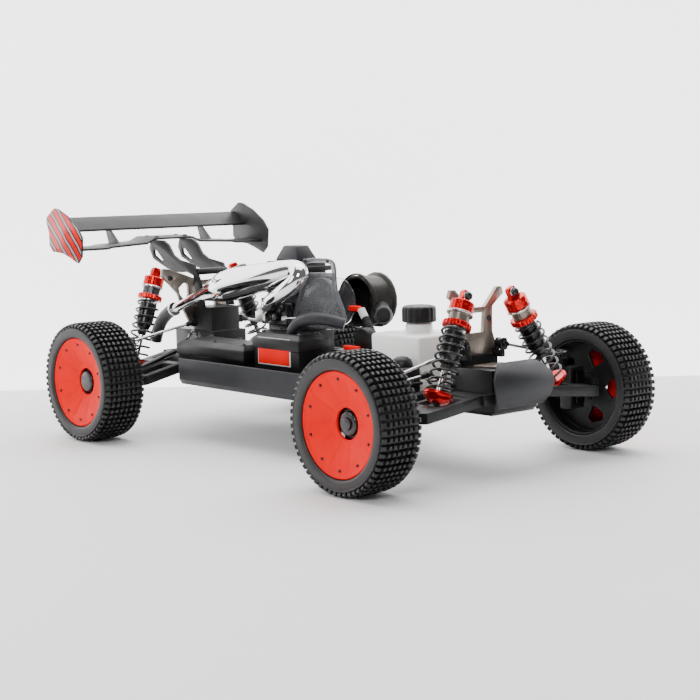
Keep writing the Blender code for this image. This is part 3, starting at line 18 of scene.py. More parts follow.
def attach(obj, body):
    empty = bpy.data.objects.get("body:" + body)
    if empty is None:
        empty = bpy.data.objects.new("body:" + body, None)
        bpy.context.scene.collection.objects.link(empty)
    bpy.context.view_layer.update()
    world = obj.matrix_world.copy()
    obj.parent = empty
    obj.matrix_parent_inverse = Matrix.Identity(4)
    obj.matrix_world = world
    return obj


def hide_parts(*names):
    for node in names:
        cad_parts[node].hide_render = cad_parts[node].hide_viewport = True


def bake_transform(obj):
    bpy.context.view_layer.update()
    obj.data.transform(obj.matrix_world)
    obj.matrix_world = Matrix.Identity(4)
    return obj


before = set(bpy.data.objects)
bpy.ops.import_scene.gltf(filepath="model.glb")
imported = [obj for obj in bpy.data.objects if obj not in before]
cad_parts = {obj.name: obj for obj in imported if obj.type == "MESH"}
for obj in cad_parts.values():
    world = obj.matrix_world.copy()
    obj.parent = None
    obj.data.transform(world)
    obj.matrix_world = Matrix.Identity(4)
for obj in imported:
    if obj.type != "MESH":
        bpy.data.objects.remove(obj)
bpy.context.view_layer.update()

log = logging.getLogger("buggy")

MM = 0.001
CORNERS = ("front_left", "front_right", "rear_left", "rear_right")
Colour = tuple[float, float, float]
Point = Sequence[float]
Profile = Sequence[tuple[float, float]]

# Ways to stand a flat outline up: which of the car's axes its own x and y run along.
STAND_YZ = Matrix(((0, 0, 1, 0), (1, 0, 0, 0), (0, 1, 0, 0), (0, 0, 0, 1)))
STAND_XZ = Matrix(((1, 0, 0, 0), (0, 0, -1, 0), (0, 1, 0, 0), (0, 0, 0, 1)))

# The body that most pieces ride on.
CHASSIS = "chassis"


class Brush(Enum):
    """Direction that a metal's brushing runs in, as a stretch of its grain."""

    NONE = (1.0, 1.0, 1.0)
    ALONG_Y = (1.0, 0.04, 1.0)
    ALONG_Z = (1.0, 1.0, 0.04)


# ------------------------------------------------------------------ finishes


class Mixer:
    """Lays out the shader nodes of one material."""

    def __init__(self, name: str) -> None:
        """Start a material with a Principled shader that reads Object coordinates."""
        self.material = bpy.data.materials.new(name)
        self.material.use_nodes = True
        self.nodes = self.material.node_tree.nodes
        self.links = self.material.node_tree.links
        self.shader = self.nodes["Principled BSDF"]
        self.place = self.nodes.new("ShaderNodeTexCoord").outputs["Object"]

    def noise(self, scale: float, detail: float = 4.0, stretch: Brush = Brush.NONE):
        """Add a noise pattern.

        Args:
            scale: How many features per metre.
            detail: Octaves of finer pattern.
            stretch: Direction that the pattern is drawn out in.

        Returns:
            The pattern's value socket.
        """
        mapping = self.nodes.new("ShaderNodeMapping")
        mapping.inputs["Scale"].default_value = stretch.value
        self.links.new(self.place, mapping.inputs["Vector"])
        noise = self.nodes.new("ShaderNodeTexNoise")
        noise.inputs["Scale"].default_value = scale
        noise.inputs["Detail"].default_value = detail
        self.links.new(mapping.outputs["Vector"], noise.inputs["Vector"])
        return noise.outputs["Fac"]

    def remap(self, value, low: float, high: float, start: float = 0.3, end: float = 0.7):
        """Spread a pattern's value over a new range.

        Args:
            value: The pattern's socket.
            low: Result at start.
            high: Result at end.
            start: Pattern value that gives low.
            end: Pattern value that gives high.

        Returns:
            The remapped value socket.
        """
        node = self.nodes.new("ShaderNodeMapRange")
        node.inputs["From Min"].default_value = start
        node.inputs["From Max"].default_value = end
        node.inputs["To Min"].default_value = low
        node.inputs["To Max"].default_value = high
        self.links.new(value, node.inputs["Value"])
        return node.outputs["Result"]

    def colours(self, value, first, second: Colour):
        """Mix two colours by a value.

        Args:
            value: Mixing socket.
            first: Colour or colour socket at zero.
            second: Colour at one.

        Returns:
            The mixed colour socket.
        """
        node = self.nodes.new("ShaderNodeMix")
        node.data_type = "RGBA"
        self.links.new(value, node.inputs["Factor"])
        if isinstance(first, tuple):
            node.inputs["A"].default_value = (*first, 1.0)
        else:
            self.links.new(first, node.inputs["A"])
        node.inputs["B"].default_value = (*second, 1.0)
        return node.outputs["Result"]

    def relief(self, value, depth: float) -> None:
        """Raise the surface by a pattern.

        Args:
            value: Height socket.
            depth: Height of the relief in metres.
        """
        bump = self.nodes.new("ShaderNodeBump")
        bump.inputs["Strength"].default_value = 0.6
        bump.inputs["Distance"].default_value = depth
        self.links.new(value, bump.inputs["Height"])
        self.links.new(bump.outputs["Normal"], self.shader.inputs["Normal"])


@dataclass(frozen=True)
class Finish:
    """A surface finish: colour with mottling, grain relief, uneven gloss and light wear."""

    name: str
    colour: Colour
    tint: Colour
    roughness: float
    metallic: float = 0.0
    spread: float = 0.10
    mottle_scale: float = 45.0
    grain_scale: float = 1400.0
    grain_depth: float = 0.00006
    brush: Brush = Brush.NONE
    wear: float = 0.0
    worn: Colour = (0.35, 0.35, 0.35)
    coat: float = 0.0
    transmission: float = 0.0
    specular: float = 0.5

    def made(self) -> bpy.types.Material:
        """Return the material, making it the first time."""
        found = bpy.data.materials.get("finish_" + self.name)
        if found:
            return found
        mixer = Mixer("finish_" + self.name)
        broad = mixer.noise(self.mottle_scale, 5.0)
        fine = mixer.noise(self.grain_scale, 3.0, self.brush)
        colour = mixer.colours(mixer.remap(broad, 0.0, 1.0), self.colour, self.tint)
        if self.wear:
            rubbed = mixer.noise(self.mottle_scale * 4.0, 8.0)
            mask = mixer.remap(rubbed, 0.0, self.wear, 0.60, 0.78)
            colour = mixer.colours(mask, colour, self.worn)
        mixer.links.new(colour, mixer.shader.inputs["Base Color"])
        low, high = self.roughness - self.spread / 2, self.roughness + self.spread / 2
        source = fine if self.brush is not Brush.NONE else broad
        mixer.links.new(mixer.remap(source, low, high), mixer.shader.inputs["Roughness"])
        mixer.relief(fine, self.grain_depth)
        mixer.shader.inputs["Metallic"].default_value = self.metallic
        mixer.shader.inputs["Specular IOR Level"].default_value = self.specular
        mixer.shader.inputs["Coat Weight"].default_value = self.coat
        mixer.shader.inputs["Transmission Weight"].default_value = self.transmission
        if self.transmission:
            mixer.shader.inputs["IOR"].default_value = 1.2
        return mixer.material


TREAD_RUBBER = Finish("tread_rubber", (0.005, 0.005, 0.005), (0.010, 0.0098, 0.0095), 0.48,
                      grain_depth=0.00008, wear=0.18, worn=(0.040, 0.039, 0.037))
WALL_RUBBER = Finish("wall_rubber", (0.014, 0.014, 0.0145), (0.020, 0.020, 0.020), 0.46)
HOSE_RUBBER = Finish("hose_rubber", (0.010, 0.010, 0.011), (0.018, 0.018, 0.018), 0.44)
RED_NYLON = Finish("red_nylon", (0.95, 0.0005, 0.0005), (0.85, 0.0004, 0.0004), 0.50,
                   grain_depth=0.00003, mottle_scale=28.0, specular=0.08)
RED_ANODISED = Finish("red_anodised", (0.72, 0.006, 0.005), (0.56, 0.003, 0.003), 0.28, 0.80,
                      brush=Brush.ALONG_Z, grain_depth=0.00002, coat=0.10)
SILVER = Finish("machined_silver", (0.80, 0.79, 0.77), (0.68, 0.67, 0.65), 0.27, 1.0,
                brush=Brush.ALONG_Y, grain_depth=0.00003)
CHAMPAGNE = Finish("champagne_alloy", (0.37, 0.315, 0.270), (0.30, 0.255, 0.220), 0.34, 0.85,
                   brush=Brush.ALONG_Z, grain_depth=0.00005, spread=0.16)
GUNMETAL = Finish("gunmetal", (0.15, 0.15, 0.155), (0.09, 0.09, 0.095), 0.32, 1.0)
CHROME = Finish("bright_chrome", (0.90, 0.90, 0.89), (0.80, 0.80, 0.81), 0.06, 1.0,
                spread=0.05, grain_depth=0.00001)
STEEL = Finish("dark_steel", (0.10, 0.10, 0.105), (0.055, 0.055, 0.06), 0.32, 1.0, spread=0.14)
CAST = Finish("cast_alloy", (0.050, 0.050, 0.053), (0.026, 0.026, 0.028), 0.46, 0.7,
              grain_scale=900.0, grain_depth=0.00018)
BLACK_NYLON = Finish("black_nylon", (0.005, 0.005, 0.0055), (0.010, 0.010, 0.011), 0.42,
                     wear=0.06, worn=(0.025, 0.025, 0.027), specular=0.35)
BLACK_GLOSS = Finish("black_gloss", (0.007, 0.007, 0.0075), (0.012, 0.012, 0.013), 0.28,
                     coat=0.2, grain_depth=0.00002)
SATIN_BLACK = Finish("satin_black", (0.010, 0.010, 0.011), (0.016, 0.016, 0.017), 0.46,
                     grain_depth=0.00002)
SLATE = Finish("slate_plastic", (0.019, 0.019, 0.023), (0.025, 0.025, 0.030), 0.46,
               wear=0.06, worn=(0.060, 0.060, 0.070), specular=0.35)
SPRING = Finish("spring_coating", (0.007, 0.007, 0.0075), (0.014, 0.014, 0.015), 0.30,
                coat=0.25)
SMOKED = Finish("smoked_clear", (0.72, 0.73, 0.75), (0.62, 0.63, 0.65), 0.10, transmission=0.88,
                spread=0.06, grain_depth=0.00001)
SMOKED_THICK = Finish("smoked_thick", (0.34, 0.34, 0.36), (0.26, 0.26, 0.28), 0.18,
                      transmission=0.60, spread=0.06, grain_depth=0.00001)
CLEAR = Finish("clear_sheet", (0.90, 0.91, 0.92), (0.84, 0.85, 0.86), 0.05, transmission=0.96,
               spread=0.03, grain_depth=0.00001)
DRUM_GREY = Finish("drum_coating", (0.060, 0.056, 0.050), (0.040, 0.037, 0.034), 0.36, 0.4)
TANK = Finish("tank_white", (0.95, 0.95, 0.93), (0.90, 0.90, 0.88), 0.34)
LABEL_WHITE = Finish("label_white", (0.84, 0.84, 0.82), (0.78, 0.78, 0.76), 0.40)


@dataclass(frozen=True)
class StripedFinish(Finish):
    """A finish with plain slanted bands in two more colours."""

    second: Colour = (0.012, 0.012, 0.013)
    third: Colour = (0.42, 0.42, 0.43)
    bands: float = 26.0

    def made(self) -> bpy.types.Material:
        """Return the banded material, making it the first time."""
        known = "finish_" + self.name in bpy.data.materials
        material = super().made()
        if known:
            return material
        nodes, links = material.node_tree.nodes, material.node_tree.links
        shader = nodes["Principled BSDF"]
        place = next(n for n in nodes if n.type == "TEX_COORD").outputs["Object"]
        wave = nodes.new("ShaderNodeTexWave")
        wave.wave_type = "BANDS"
        wave.bands_direction = "DIAGONAL"
        wave.inputs["Scale"].default_value = self.bands
        wave.inputs["Distortion"].default_value = 1.4
        links.new(place, wave.inputs["Vector"])
        colour = shader.inputs["Base Color"].links[0].from_socket
        for start, shade in ((0.52, self.second), (0.88, self.third)):
            step = nodes.new("ShaderNodeMapRange")
            step.inputs["From Min"].default_value = start
            step.inputs["From Max"].default_value = start + 0.015
            links.new(wave.outputs["Fac"], step.inputs["Value"])
            mix = nodes.new("ShaderNodeMix")
            mix.data_type = "RGBA"
            links.new(step.outputs["Result"], mix.inputs["Factor"])
            links.new(colour, mix.inputs["A"])
            mix.inputs["B"].default_value = (*shade, 1.0)
            colour = mix.outputs["Result"]
        links.new(colour, shader.inputs["Base Color"])
        return material


END_PLATE = StripedFinish("end_plate", (0.90, 0.003, 0.002), (0.80, 0.002, 0.001), 0.34,
                          specular=0.25, grain_depth=0.00002)


# ------------------------------------------------------------------ the bench


def at(x: float, y: float, z: float) -> Vector:
    """Turn millimetres into a point in metres."""
    return Vector((x, y, z)) * MM


def to_side(side: int, point: Point) -> Vector:
    """Turn a left-hand place in millimetres into metres, mirrored where side is -1."""
    return at(point[0], side * point[1], point[2])


def axis_frame(start: Vector, direction: Vector) -> Matrix:
    """Frame whose Z runs along a direction and whose X stays near the car's X.

    Args:
        start: Origin of the frame, in metres.
        direction: Direction of its Z.

    Returns:
        The frame as a matrix.
    """
    z_axis = direction.normalized()
    guide = Vector((1, 0, 0)) if abs(z_axis.x) < 0.9 else Vector((0, 1, 0))
    x_axis = (guide - z_axis * guide.dot(z_axis)).normalized()
    y_axis = z_axis.cross(x_axis)
    turn = Matrix((x_axis, y_axis, z_axis)).transposed().to_4x4()
    return Matrix.Translation(start) @ turn


class Bench:
    """Modelling steps, each done with Blender's own operators."""

    @staticmethod
    def only(obj: bpy.types.Object) -> bpy.types.Object:
        """Select this object alone and make it active."""
        bpy.ops.object.select_all(action="DESELECT")
        obj.select_set(True)
        bpy.context.view_layer.objects.active = obj
        return obj

    @staticmethod
    def fresh() -> None:
        """Deselect everything before a primitive is added."""
        bpy.ops.object.select_all(action="DESELECT")

    @staticmethod
    def opened(select: str = "SELECT", mode: str = "VERT") -> None:
        """Enter edit mode on the active object, in one select mode, all or nothing selected."""
        bpy.ops.object.mode_set(mode="EDIT")
        bpy.ops.mesh.select_mode(type=mode)
        bpy.ops.mesh.select_all(action=select)

    @classmethod
    def picked(cls, obj: bpy.types.Object,
               wanted: Callable[[bpy.types.MeshPolygon], bool]) -> None:
        """Enter edit mode with only the faces that pass a test selected."""
        cls.only(obj)
        cls.opened("DESELECT", "FACE")
        bpy.ops.object.mode_set(mode="OBJECT")
        for face in obj.data.polygons:
            face.select = wanted(face)
        bpy.ops.object.mode_set(mode="EDIT")

    @classmethod
    def applied(cls, obj: bpy.types.Object, kind: str, **settings) -> bpy.types.Object:
        """Give an object a modifier with these settings and apply it."""
        cls.only(obj)
        step = obj.modifiers.new(kind.lower(), kind)
        for key, value in settings.items():
            setattr(step, key, value)
        bpy.ops.object.modifier_apply(modifier=step.name)
        return obj

    @staticmethod
    def twin(obj: bpy.types.Object, name: str) -> bpy.types.Object:
        """Copy an object with its own mesh, where it stands."""
        twin = bpy.data.objects.new(name, obj.data.copy())
        bpy.context.scene.collection.objects.link(twin)
        return twin

    @classmethod
    def cleaned(cls, obj: bpy.types.Object, weld: float = 1e-6) -> bpy.types.Object:
        """Merge doubled points and point every face outwards."""
        cls.only(obj)
        cls.opened()
        bpy.ops.mesh.remove_doubles(threshold=weld)
        bpy.ops.mesh.normals_make_consistent(inside=False)
        bpy.ops.object.mode_set(mode="OBJECT")
        return obj

    @classmethod
    def turned(cls, profile: Profile, sides: int = 32, ring: bool = False,
               angle: float = 35.0) -> bpy.types.Object:
        """Turn a profile about Z by extruding a circle from station to station.

        Args:
            profile: Radius and height of each station, in millimetres.
            sides: Points round the circle.
            ring: Whether the profile closes on itself and leaves a bore.
            angle: Edges flatter than this many degrees are shaded smooth.

        Returns:
            The turned object, about the origin.
        """
        cls.fresh()
        radius, height = profile[0]
        bpy.ops.mesh.primitive_circle_add(
            vertices=sides, radius=radius * MM, location=(0, 0, height * MM),
            fill_type="NOTHING" if ring else "NGON")
        obj = bpy.context.active_object
        bpy.ops.object.transform_apply(location=True, rotation=False, scale=False)
        cls.opened()
        stations = list(profile[1:]) + ([profile[0]] if ring else [])
        for new_radius, new_height in stations:
            rise = (0, 0, (new_height - height) * MM)
            bpy.ops.mesh.extrude_region_move(TRANSFORM_OT_translate={"value": rise})
            grow = new_radius / radius
            bpy.ops.transform.resize(value=(grow, grow, 1), center_override=(0, 0, 0))
            radius, height = new_radius, new_height
        bpy.ops.object.mode_set(mode="OBJECT")
        return cls.smooth(cls.cleaned(obj), angle)

    @classmethod
    def plate(cls, outline: Profile, thickness: float, bevel: float = 0.5) -> bpy.types.Object:
        """Extrude a flat outline along Z from zero and ease its edges.

        Args:
            outline: Corners in millimetres.
            thickness: Height of the extrusion in millimetres.
            bevel: Width of the eased edge in millimetres.

        Returns:
            The plate, standing on Z = 0.
        """
        cls.fresh()
        bpy.ops.mesh.primitive_circle_add(vertices=len(outline), radius=1, fill_type="NGON")
        obj = bpy.context.active_object
        for vertex, (u, v) in zip(obj.data.vertices, outline):
            vertex.co = (u * MM, v * MM, 0)
        cls.opened()
        rise = (0, 0, thickness * MM)
        bpy.ops.mesh.extrude_region_move(TRANSFORM_OT_translate={"value": rise})
        bpy.ops.object.mode_set(mode="OBJECT")
        cls.cleaned(obj)
        return cls.eased(obj, bevel) if bevel else obj

    @classmethod
    def brick(cls, low: Sequence[float], high: Sequence[float],
              bevel: float = 0.8) -> bpy.types.Object:
        """Box between two corners in millimetres, with rounded edges."""
        outline = ((low[0], low[1]), (high[0], low[1]), (high[0], high[1]), (low[0], high[1]))
        obj = cls.plate(outline, high[2] - low[2], 0)
        cls.seated(obj, Matrix.Translation(at(0, 0, low[2])))
        return cls.eased(obj, bevel, 3)

    @classmethod
    def eased(cls, obj: bpy.types.Object, width: float, segments: int = 2) -> bpy.types.Object:
        """Round an object's sharp edges.

        Args:
            obj: The object.
            width: Width of the rounding in millimetres.
            segments: Faces across the rounding.

        Returns:
            The same object.
        """
        cls.applied(obj, "BEVEL", width=width * MM, segments=segments, limit_method="ANGLE",
                    angle_limit=math.radians(32))
        return cls.smooth(obj, 40.0)

    @classmethod
    def smooth(cls, obj: bpy.types.Object, angle: float) -> bpy.types.Object:
        """Shade faces smooth where they meet at less than the angle in degrees."""
        cls.only(obj)
        bpy.ops.object.shade_smooth_by_angle(angle=math.radians(angle))
        return obj

    @classmethod
    def seated(cls, obj: bpy.types.Object, place: Matrix) -> bpy.types.Object:
        """Move an object's mesh to its place, leaving the object at the origin."""
        cls.only(obj)
        obj.matrix_world = place @ obj.matrix_world
        bpy.context.view_layer.update()
        bpy.ops.object.transform_apply(location=True, rotation=True, scale=True)
        return obj

    @classmethod
    def copied(cls, obj: bpy.types.Object, place: Matrix) -> bpy.types.Object:
        """Copy an object with its own mesh, at another place."""
        return cls.seated(cls.twin(obj, obj.name), place)

    @classmethod
    def joined(cls, objects: Iterable[bpy.types.Object]) -> bpy.types.Object:
        """Join objects into one."""
        objects = list(objects)
        cls.only(objects[0])
        for obj in objects:
            obj.select_set(True)
        bpy.ops.object.join()
        return bpy.context.view_layer.objects.active

    @classmethod
    def cut(cls, obj: bpy.types.Object, cutters: Iterable[bpy.types.Object]) -> bpy.types.Object:
        """Cut holes in an object with others, which are used up."""
        for cutter in cutters:
            cls.applied(obj, "BOOLEAN", operation="DIFFERENCE", object=cutter)
            bpy.data.objects.remove(cutter)
        return obj

    @staticmethod
    def scalloped(obj: bpy.types.Object, count: int, depth: float,
                  beyond: float) -> bpy.types.Object:
        """Press grooves into the rim of a turned piece.

        Args:
            obj: The piece.
            count: Number of grooves.
            depth: Their depth as a share of the radius.
            beyond: Only points further out than this many millimetres move.

        Returns:
            The same piece.
        """
        for vertex in obj.data.vertices:
            if math.hypot(vertex.co.x, vertex.co.y) > beyond * MM:
                wave = math.cos(count * math.atan2(vertex.co.y, vertex.co.x))
                shrink = 1 - depth * max(0.0, wave)
                vertex.co.x *= shrink
                vertex.co.y *= shrink
        return obj

    @classmethod
    def tube(cls, route: Sequence[Sequence[float]], sides: int = 4) -> bpy.types.Object:
        """Smooth round tube along points given as (x, y, z, radius) in millimetres.

        Args:
            route: The points.
            sides: Resolution of the round section.

        Returns:
            The tube as a mesh.
        """
        cls.fresh()
        bpy.ops.curve.primitive_nurbs_path_add()
        obj = bpy.context.active_object
        curve = obj.data
        curve.splines.clear()
        spline = curve.splines.new("NURBS")
        spline.points.add(len(route) - 1)
        for point, (x, y, z, radius) in zip(spline.points, route):
            point.co = (*at(x, y, z), 1.0)
            point.radius = radius
        spline.order_u = 4
        spline.use_endpoint_u = True
        curve.bevel_depth = MM
        curve.bevel_resolution = sides
        curve.use_fill_caps = True
        curve.resolution_u = 8
        bpy.ops.object.convert(target="MESH")
        return cls.smooth(cls.cleaned(bpy.context.active_object, 1e-5), 50.0)

    @classmethod
    def from_frame(cls, node: str, ease: float) -> bpy.types.Object:
        """Copy a frame node's mesh, merge it and round its edges.

        Args:
            node: Name of the node.
            ease: Width of the rounding in millimetres.

        Returns:
            The refined copy.
        """
        twin = cls.only(cls.twin(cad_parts[node], node + "_skin"))
        cls.opened()
        bpy.ops.mesh.remove_doubles(threshold=2e-6)
        bpy.ops.mesh.dissolve_limited(angle_limit=math.radians(1.0))
        bpy.ops.object.mode_set(mode="OBJECT")
        return cls.eased(twin, ease)


def kept(obj: bpy.types.Object, name: str, finish: Finish, body: str, slot: str,
         *replaced: str) -> bpy.types.Object:
    """Name, dress and mount a finished piece.

    Args:
        obj: The piece, with its place in its mesh.
        name: The piece's name.
        finish: Its finish.
        body: The body it moves with.
        slot: Not used.
        replaced: Frame nodes it stands for.

    Returns:
        The piece.
    """
    obj.name = name
    obj.data.name = name
    obj.data.materials.clear()
    obj.data.materials.append(finish.made())
    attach(obj, body)
    if replaced:
        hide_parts(*replaced)
    log.info("%s: %d faces on %s", name, len(obj.data.polygons), body)
    return obj


def skin(node: str, name: str, finish: Finish, slot: str, ease: float,
         body: str = CHASSIS) -> bpy.types.Object:
    """Stand a refined copy in for a frame node, its edges rounded by ease millimetres."""
    return kept(Bench.from_frame(node, ease), name, finish, body, slot, node)


def fitted(profile: Profile, sides: int, spot: Point, way: Point, ring: bool = False,
           angle: float = 35.0) -> bpy.types.Object:
    """Turn a profile and stand it at a spot in millimetres, facing a direction.

    Args:
        profile: Radius and height of each station, in millimetres.
        sides: Points round the circle.
        spot: Where the profile's zero goes.
        way: Direction that its height runs in.
        ring: Whether the profile closes on itself and leaves a bore.
        angle: Edges flatter than this many degrees are shaded smooth.

    Returns:
        The turned object in its place.
    """
    obj = Bench.turned(profile, sides, ring, angle)
    return Bench.seated(obj, axis_frame(at(*spot), Vector(way)))


def is_front(corner: str) -> bool:
    """Whether a corner is at the front."""
    return corner.startswith("front")


def side_of(corner: str) -> int:
    """Return 1 for a left corner and -1 for a right one."""
    return 1 if corner.endswith("left") else -1


@dataclass
class Fasteners:
    """Socket-head screws, modelled once and copied."""

    head: bpy.types.Object | None = None

    def pattern(self) -> bpy.types.Object:
        """Model a button head of radius 1 with a hexagon socket."""
        profile = ((1.0, 0), (1.0, 0.35), (0.92, 0.62), (0.70, 0.80), (0.52, 0.84), (0.50, 0.35))
        obj = Bench.turned(profile, 12, angle=30)
        for vertex in obj.data.vertices:
            flat = math.hypot(vertex.co.x, vertex.co.y) / MM
            if flat < 0.6:
                turn = math.atan2(vertex.co.y, vertex.co.x) % (math.pi / 3) - math.pi / 6
                shrink = 0.86 / math.cos(turn)
                vertex.co.x *= shrink
                vertex.co.y *= shrink
        return obj

    def row(self, name: str, places: Sequence[Sequence[float]], direction: Sequence[float],
            radius: float, body: str, finish: Finish = STEEL) -> None:
        """Fit screws at several places, as one piece.

        Args:
            name: Name of the piece.
            places: Seats of the heads in millimetres.
            direction: Way the heads face.
            radius: Radius of a head in millimetres.
            body: Body they move with.
            finish: Their finish.
        """
        if self.head is None:
            self.head = self.pattern()
        scale = Matrix.Scale(radius, 4)
        screws = []
        for x, y, z in places:
            place = axis_frame(at(x, y, z), Vector(direction)) @ scale
            screws.append(Bench.copied(self.head, place))
        kept(Bench.joined(screws), name, finish, body, "dark_steel")

    def put_away(self) -> None:
        """Remove the pattern screw."""
        if self.head is not None:
            bpy.data.objects.remove(self.head)


# ------------------------------------------------------------------ wheels


@dataclass
class RunningGear:
    """The four tyres and wheels."""

    screws: Fasteners
    front_x: float = 332.5
    rear_x: float = -237.5
    axle_z: float = 85.0
    tyre_radius: float = 85.0
    knob_height: float = 5.6
    knobs_round: int = 58
    knob_rows: int = 8
    rim_inset: float = 4.0
    screw_count: int = 10
    screw_circle: float = 54.0
    windows: int = 5

    def half_width(self, corner: str) -> float:
        """Half a tyre's width in millimetres."""
        return 31.0 if is_front(corner) else 32.0

    def hub_frame(self, corner: str) -> Matrix:
        """Frame at a wheel's centre whose Z points away from the car."""
        x = self.front_x if is_front(corner) else self.rear_x
        y = side_of(corner) * (244.5 - self.half_width(corner))
        return axis_frame(at(x, y, self.axle_z), Vector((0, side_of(corner), 0)))

    def carcass(self, half: float) -> bpy.types.Object:
        """Tyre casing with a rounded shoulder and raised bands on its walls."""
        crown = self.tyre_radius - self.knob_height
        wall = [(64.0, half - 4.0), (65.0, half - 1.8), (66.6, half - 0.9), (68.4, half - 0.7),
                (74.0, half - 0.3), (76.2, half - 0.7), (76.8, half - 0.2), (77.6, half - 0.6),
                (78.0, half - 2.4), (crown - 0.6, half - 6.0), (crown, half - 12.0)]
        profile = wall + [(radius, -height) for radius, height in reversed(wall)]
        return Bench.turned(profile, 96, ring=True, angle=50)

    def knob(self, place: Matrix, size: tuple[float, float]) -> bpy.types.Object:
        """One tapered tread block with eased top edges."""
        length, width = size
        Bench.fresh()
        bpy.ops.mesh.primitive_cube_add(size=1)
        obj = bpy.context.active_object
        obj.scale = (length * MM, width * MM, self.knob_height * MM * 1.2)
        bpy.ops.object.transform_apply(location=False, rotation=False, scale=True)
        Bench.picked(obj, lambda face: face.normal.z > 0.9)
        bpy.ops.transform.resize(value=(0.86, 0.86, 1))
        bpy.ops.mesh.inset(thickness=0.5 * MM)
        bpy.ops.transform.translate(value=(0, 0, 0.3 * MM))
        bpy.ops.object.mode_set(mode="OBJECT")
        return Bench.seated(obj, place)

    def tread(self, half: float) -> bpy.types.Object:
        """Even grid of blocks round the casing: one row modelled once, then arrayed."""
        step = 2 * math.pi / self.knobs_round
        middle = self.tyre_radius - self.knob_height / 2 - 0.7
        last = self.knob_rows - 1
        pitch = (half * 2 - 9.0) / last
        blocks = []
        for row in range(self.knob_rows):
            place = row - last / 2
            edge = row in (0, last)
            lean = Matrix.Rotation(math.radians(-8 * place) if edge else 0, 4, "X")
            drop = 1.5 if edge else 0.0
            stand = axis_frame(at(middle - drop, 0, 0), Vector((1, 0, 0)))
            spot = Matrix.Translation(at(0, 0, place * pitch)) @ stand
            blocks.append(self.knob(spot @ lean, (5.6, 6.4 if edge else 4.8)))
        strip = Bench.joined(blocks)
        bpy.ops.object.empty_add(rotation=(0, 0, step))
        pivot = bpy.context.active_object
        Bench.applied(strip, "ARRAY", use_relative_offset=False, use_object_offset=True,
                      offset_object=pivot, count=self.knobs_round)
        bpy.data.objects.remove(pivot)
        return Bench.smooth(strip, 30)

    def dish(self, edge: float) -> bpy.types.Object:
        """Concave cover with a rolled lip, faint radial creases and an open middle."""
        foot = edge - 15.5
        face = [(63.4, edge - 1.4), (63.0, edge - 0.3), (61.8, edge), (60.4, edge - 0.5),
                (59.6, edge - 1.5), (57.0, edge - 2.2), (50.0, edge - 4.2), (42.0, edge - 7.0),
                (34.0, edge - 10.2), (26.0, edge - 13.4), (21.4, foot + 0.6), (20.0, foot + 0.5),
                (19.0, foot - 0.4)]
        back = [(19.0, foot - 3.0), (28.0, edge - 15.4), (44.0, edge - 9.4), (60.0, edge - 5.2),
                (63.4, edge - 5.0)]
        cover = Bench.turned(face + back, 120, ring=True, angle=40)
        for vertex in cover.data.vertices:
            radius = math.hypot(vertex.co.x, vertex.co.y) / MM
            turn = math.atan2(vertex.co.y, vertex.co.x)
            if 24.0 < radius < 53.0 and vertex.co.z > (edge - 14.4) * MM:
                vertex.co.z -= 0.9 * MM * max(0.0, math.cos(10 * turn)) ** 6
        return cover

    def barrel(self, edge: float) -> bpy.types.Object:
        """Rim barrel with a bead at each edge and a web with five kite windows."""
        profile = [(63.6, -edge), (63.6, edge - 5.4), (60.6, edge - 5.4), (60.6, -4.0),
                   (18.0, -4.0), (18.0, 6.0), (8.3, 6.0), (8.3, -14.0), (18.0, -14.0),
                   (18.0, -8.0), (60.6, -8.0), (60.6, -edge + 2.0), (62.0, -edge)]
        obj = Bench.turned(profile, 80, ring=True)
        cutters = []
        for i in range(self.windows):
            angle = 2 * math.pi * i / self.windows
            points = ((27.0, 0.0), (43.0, 0.32), (50.0, 0.19), (50.0, -0.19), (43.0, -0.32))
            outline = [(r * math.cos(angle + a), r * math.sin(angle + a)) for r, a in points]
            cutter = Bench.plate(outline, 12.0, 0)
            cutters.append(Bench.seated(cutter, Matrix.Translation(at(0, 0, -12))))
        return Bench.eased(Bench.cut(obj, cutters), 0.35, 1)

    def nut(self, rear: bool) -> bpy.types.Object:
        """Smooth round wheel cap with a rounded edge and a shallow flat face."""
        reach = 14.0 if rear else 11.0
        return Bench.turned(((15.0, 3.0), (15.0, reach - 2.6), (14.5, reach - 1.0),
                             (13.3, reach - 0.1), (11.6, reach + 0.2), (4.0, reach + 0.3)), 64,
                            angle=50)

    def build(self) -> None:
        """Make both sizes of wheel once and copy them to their corners."""
        for end in ("front", "rear"):
            corners = [corner for corner in CORNERS if corner.startswith(end)]
            half = self.half_width(corners[0])
            edge = half - self.rim_inset
            patterns = {
                "casing": (self.carcass(half), WALL_RUBBER, "tyre_rubber"),
                "tread": (self.tread(half), TREAD_RUBBER, "tyre_rubber"),
                "dish": (self.dish(edge), RED_NYLON, "red_nylon"),
                "barrel": (self.barrel(edge), BLACK_NYLON, "black_plastic"),
                "wheel_nut": (self.nut(end == "rear"), BLACK_GLOSS, "black_plastic"),
            }
            for corner in corners:
                hub = self.hub_frame(corner)
                for part, (pattern, finish, slot) in patterns.items():
                    stands_for = {"casing": (corner + "_tyre",), "dish": (corner + "_wheel",)}
                    piece = Bench.copied(pattern, hub)
                    kept(piece, f"{corner}_{part}", finish, corner + "_wheel_set", slot,
                         *stands_for.get(part, ()))
                self.cover_screws(corner, hub, edge)
            for pattern, _, _ in patterns.values():
                bpy.data.objects.remove(pattern)

